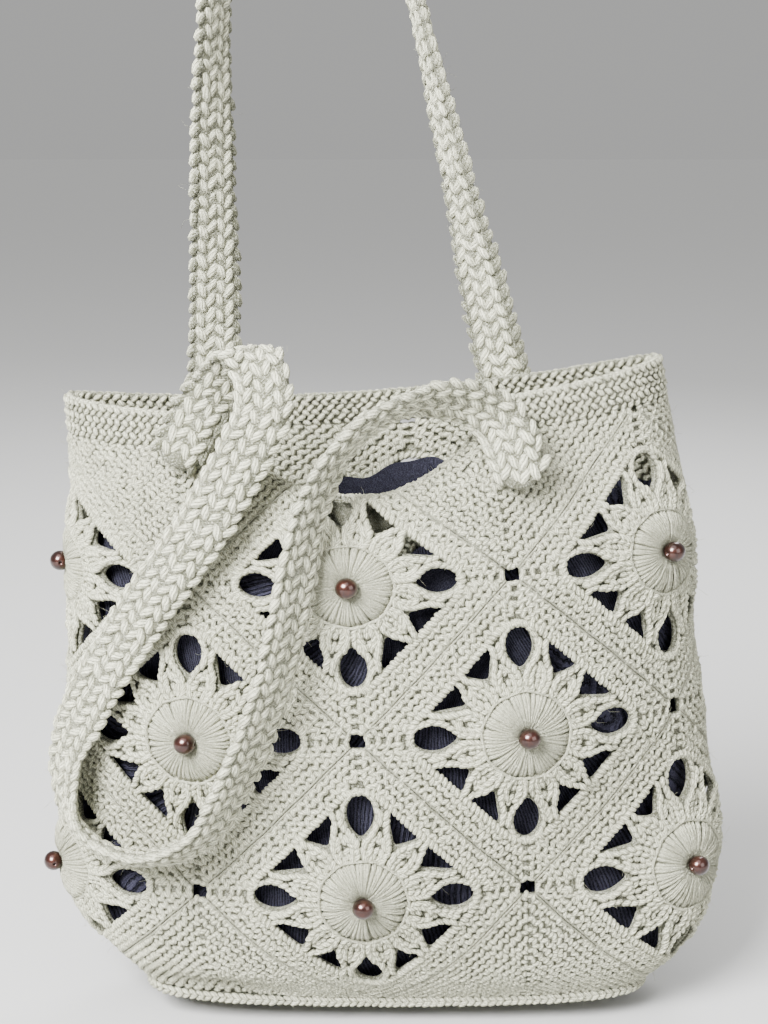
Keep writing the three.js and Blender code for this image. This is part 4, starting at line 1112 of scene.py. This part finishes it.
# A smooth line through the stations, with even weight to near and far ones
def strapLine(stations):
    knots = np.array([stationPoint(station) for station in stations])
    faces = np.array([station[-3:] for station in stations], float)
    knots = np.vstack([2 * knots[0] - knots[1], knots, 2 * knots[-1] - knots[-2]])
    line, looks = [], []
    for index in range(len(stations) - 1):
        p0, p1, p2, p3 = knots[index:index + 4]
        d0, d1, d2 = (np.linalg.norm(b - a) ** 0.5 for a, b in ((p0, p1), (p1, p2), (p2, p3)))
        start = ((p1 - p0) / d0 - (p2 - p0) / (d0 + d1) + (p2 - p1) / d1) * d1
        end = ((p2 - p1) / d1 - (p3 - p1) / (d1 + d2) + (p3 - p2) / d2) * d1
        t = np.linspace(0, 1, 50, endpoint=False)[:, None]
        line.append(p1 + start * t + (-3 * p1 + 3 * p2 - 2 * start - end) * t**2
                    + (2 * p1 - 2 * p2 + start + end) * t**3)
        looks.append(faces[index] + (faces[index + 1] - faces[index]) * smooth(t))
    line = np.vstack([*line, knots[-2][None]])
    looks = np.vstack([*looks, faces[-1][None]])
    return line, unit(np.gradient(line, axis=0)), looks, walkedAlong(line)


def strapFrame(strapPath, wanted):
    line, ahead, looks, walked = strapPath
    place, forward, face = (np.stack([np.interp(wanted, walked, values[:, k]) for k in range(3)], -1)
                            for values in (line, ahead, looks))
    forward = unit(forward)
    face = unit(face - forward * np.sum(face * forward, -1, keepdims=True))
    return place, forward, face, np.cross(forward, face)


def makeStrap(name, stations, seed):
    strapPath = strapLine(stations)
    length = strapPath[3][-1]

    def narrowAt(along):
        fromEnd = np.minimum(along, length - along)
        return np.sqrt(1 - np.maximum(1 - (fromEnd + 0.4) / strap["rounding"], 0) ** 2)

    # the core that fills the strap between its stitches
    steps, sides = int(length / strap["coreStep"]), strap["coreSides"]
    along = np.linspace(0.6, length - 0.6, steps)
    place, forward, face, side = strapFrame(strapPath, along)
    angles = 2 * math.pi * np.arange(sides) / sides
    wide, thick = strap["core"]
    wide = (wide * narrowAt(along))[:, None, None]
    squared = np.sign(np.cos(angles)) * np.abs(np.cos(angles)) ** 0.6
    points = (place[:, None] + side[:, None] * wide * squared[:, None]
              + face[:, None] * (thick * np.sin(angles)[:, None]))
    last = (steps - 1) * sides
    faces = [*ringFaces(steps, sides), tuple(range(sides - 1, -1, -1)), tuple(range(last, last + sides))]
    uv = np.array([(b / 2, a) for a in range(steps) for b in range(sides)], float)
    # painted shade: the core between the strap's stitches gets a low rise, so it is painted nearly as dark as
    # the shade colour
    core = makeMesh(points.reshape(-1, 3), faces, uv, -0.3, yarn)
    lobes = []
    rows = int((length - 3) / strap["pitch"])
    for across, lean, size, shift in strapColumns:
        edge = abs(across) > 8
        for way in ((1,) if edge else (1, -1)):
            along = 2.2 + (np.arange(rows) + shift + (0.0 if way > 0 else 0.3)) * (length - 4.4) / rows
            along = np.clip(along + draw.normal(0, 0.3, rows), 1.8, length - 1.8)
            place, forward, face, side = strapFrame(strapPath, along)
            narrow = narrowAt(along)
            offset = (across * narrow + draw.normal(0, 0.25, rows)) * way
            out = 0 * along if edge else 1.55 + draw.normal(0, 0.15, rows)
            turned = lean + draw.normal(0, 0.12, rows)
            direction = forward * np.cos(turned)[:, None] + side * (way * np.sin(turned))[:, None]
            normal = unit(face * 0.8 + side * 0.6 * np.sign(across)) if edge else face * way
            at = place + side * offset[:, None] + face * (way * out)[:, None]
            sizes = np.array(size) * (0.75 + 0.25 * narrow)[:, None]
            keep = (narrow > 0.3) | edge
            lobes.append(tuple(values[keep] for values in (at, direction, normal, sizes)))
    meshes = [core, layStitches(name, lobes, 7, 0.16, seed), layFibres(lobes, 3.0)]
    finishPiece("crochet_" + name, meshes, [name])


makeStrap("handle_front", frontStations, 81)
makeStrap("handle_back", backStations, 82)
print("straps ready")

# Beads: pearls a little wider than tall, with a shallow dimple at each end where the thread goes in
bead = {"radius": 4.5, "tall": 0.93, "hole": 0.7, "seat": 2.1, "rings": 18, "sides": 24}


def makeBead(name, turn, level):
    radius, sides = bead["radius"], bead["sides"]
    start = math.asin(bead["hole"] / radius)
    angles = np.linspace(start, math.pi - start, bead["rings"])
    outside = [(radius * math.cos(a), radius * bead["tall"] * math.sin(a)) for a in angles]
    holeEnd = (radius * 0.78, bead["hole"] * 0.8)
    profile = [holeEnd, *outside, (-holeEnd[0], holeEnd[1])]
    normal = wallNormal(turn, level)
    across = unit(wallMiddle(turn + 0.05, level) - wallMiddle(turn - 0.05, level))
    up = np.cross(normal, across)
    centre = onWall(turn, level, bead["seat"] + radius * 0.88)
    points = [centre + across * radius * 0.75]
    for along, wide in profile:
        for angle in 2 * math.pi * np.arange(sides) / sides:
            points.append(centre + across * along + (up * math.cos(angle) + normal * math.sin(angle)) * wide)
    points.append(centre - across * radius * 0.75)
    count = len(profile)
    last = 1 + (count - 1) * sides
    faces = ringFaces(count, sides, 1)
    faces += [(0, 1 + (side + 1) % sides, 1 + side) for side in range(sides)]
    faces += [(len(points) - 1, last + side, last + (side + 1) % sides) for side in range(sides)]
    mesh = makeMesh(np.array(points), faces, np.zeros((len(points), 2)), 0.0, pearl)
    finishPiece("pearl_" + name, [mesh], [name])


for label, turn, level in squarePlaces:
    makeBead("bead_" + label, turn, level)
print("beads ready")

# Lining: a pouch of loose parallel strands that hangs behind the gaps
lining = {"inset": 5.2, "thickness": 0.9, "front": 3.15, "back": 3.5, "foot": 0.14, "columns": 200,
          "rows": 20, "strand": 1.9, "crest": (0.2, 3.97, 0.22)}


def makeLining():
    columns, rows = lining["columns"], lining["rows"]
    turns = fullTurn * np.arange(columns) / columns
    swing = (1 - np.cos(2 * math.pi * turns / fullTurn)) / 2
    top = lining["front"] + (lining["back"] - lining["front"]) * swing
    top = top + 0.03 * np.sin(turns * 9) + 0.02 * np.sin(turns * 23 + 1)
    crest, crestTurn, crestWidth = lining["crest"]  # what shows in the mouth
    top = top + crest * np.exp(-(wrapTurn(turns - crestTurn) / crestWidth) ** 2)
    shift = sectionAt(0)[5] * bag["width"]

    def ringOf(share, inset):
        level = lining["foot"] + (top - lining["foot"]) * share
        points = np.stack([plainPoint(turn, height) for turn, height in zip(turns, level)])
        rowsAt = np.array([ringAt(height)[0] for height in level])
        halfWidth = rowsAt[:, 2] * bag["width"] / 2
        depth = np.where(points[:, 1] < 0, rowsAt[:, 3], rowsAt[:, 4]) * bag["depth"]
        middle = rowsAt[:, 5] * bag["width"]
        loose = 0.6 * np.sin(turns * 13 + 5 * share) + 0.5 * np.sin(turns * 22 + 9 * share)
        inward = inset + loose + np.maximum(-reliefAt(turns, level), 0)
        points[:, 0] = middle + (points[:, 0] - middle) * (1 - inward / halfWidth)
        points[:, 1] = points[:, 1] * (1 - inward / depth)
        return points

    shares = np.linspace(1, 0, rows)
    outer = [ringOf(share, lining["inset"]) for share in shares]
    innerSkin = [ringOf(share, lining["inset"] + lining["thickness"]) for share in shares]
    floor = []
    for height in (1.2, 1.2 + lining["thickness"]):
        points = outer[-1].copy()
        points[:, 0] = shift + (points[:, 0] - shift) * 0.05
        points[:, 1] *= 0.05
        points[:, 2] = base["thickness"] + height - sagAt(points[:, 0] - shift, 0)
        floor.append(points)
    loops = [*outer, floor[0], floor[1], *innerSkin[::-1]]
    points = np.concatenate(loops)
    # strands that lie side by side, slanting more or less
    strandsATurn = squareReach / lining["strand"] / darkLook["plies"]
    faces, uv = [], []
    for loop in range(len(loops)):
        after = (loop + 1) % len(loops)
        if loop == rows:  # between the two faces of the foot
            continue
        for i in range(columns):
            j = (i + 1) % columns
            faces.append((loop * columns + j, loop * columns + i, after * columns + i, after * columns + j))
            for column, ring in ((i + 1, loop), (i, loop), (i, after), (i + 1, after)):
                turn = fullTurn * column / columns
                high = points[ring * columns + column % columns, 2] / squareReach
                slant = 2.6 * math.sin(math.pi * turn / 2) + 1.6 * math.sin(math.pi * turn + 1.7 * high)
                uv.append((turn * strandsATurn + slant * high, 0.25 * high))
    foot = list(range(rows * columns, (rows + 1) * columns))
    faces += [foot[::-1], [corner + columns for corner in foot]]
    uv += [(0.0, 0.0)] * (2 * columns)
    mesh = makeMesh(points, faces, np.array(uv), 0.6, darkYarn)
    finishPiece("strand_lining", [mesh], ["lining"])


makeLining()
print("lining ready")

# The photograph's camera, and a plain pale floor in soft light
view = {"place": (0.032, -0.7336, -0.1507), "aim": (0.032, 0.0, -0.3066), "lens": 62.8}


def place(name, data, at=(0, 0, 0), aim=None):
    holder = bpy.data.objects.new(name, data)
    holder.location = at
    if aim:
        holder.rotation_euler = (Vector(aim) - Vector(at)).to_track_quat("-Z", "Y").to_euler()
    bpy.context.scene.collection.objects.link(holder)
    return holder


camera = bpy.data.cameras.new("camera")
camera.sensor_width, camera.lens = 36, view["lens"]
bpy.context.scene.camera = place("camera", camera, view["place"], view["aim"])

# name, place, aim, size, power
lamps = [
    ("key", (-0.75, -1.15, 0.75), (0.02, 0, -0.35), 0.8, 175),
    ("fill", (0.95, -0.95, 0.15), (0.03, 0, -0.35), 0.9, 10),
    ("back", (0.35, 1.0, 0.6), (0.03, 0, -0.35), 0.8, 22),
]
for label, at, aim, size, power in lamps:
    light = bpy.data.lights.new(label, "AREA")
    light.size, light.energy = size, power
    place(label, light, at, aim)

sun = bpy.data.lights.new("ceiling", "SUN")  # a wide soft light over the whole floor
sun.energy, sun.angle = 2.1, 1.0
place("ceiling", sun).rotation_euler = (math.radians(24), math.radians(-14), 0)

world = bpy.data.worlds.new("studio")
world.use_nodes = True
background = world.node_tree.nodes["Background"]
setInputs(world.node_tree, background, {"Color": (0.78, 0.78, 0.77, 1), "Strength": 0.56})
bpy.context.scene.world = world

floorMaterial, tree, shader = newMaterial("pale_floor")
setInputs(tree, shader, {"Base Color": (0.43, 0.43, 0.425, 1), "Roughness": 0.9})
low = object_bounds()[0]
floorMesh = bpy.data.meshes.new("floor")
reach, under = 25, low.z - 0.001
floorMesh.from_pydata([(-reach, -reach, under), (reach, -reach, under), (reach, reach, under),
                       (-reach, reach, under)], [], [(0, 1, 2, 3)])
floorMesh.materials.append(floorMaterial)
place("floor", floorMesh)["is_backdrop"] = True

total = 0
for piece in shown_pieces():
    piece.data.calc_loop_triangles()
    total += len(piece.data.loop_triangles)
    if len(piece.data.loop_triangles) > 30000:
        print(piece.name, len(piece.data.loop_triangles), "triangles")
print("all pieces", total, "triangles")

low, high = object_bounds()
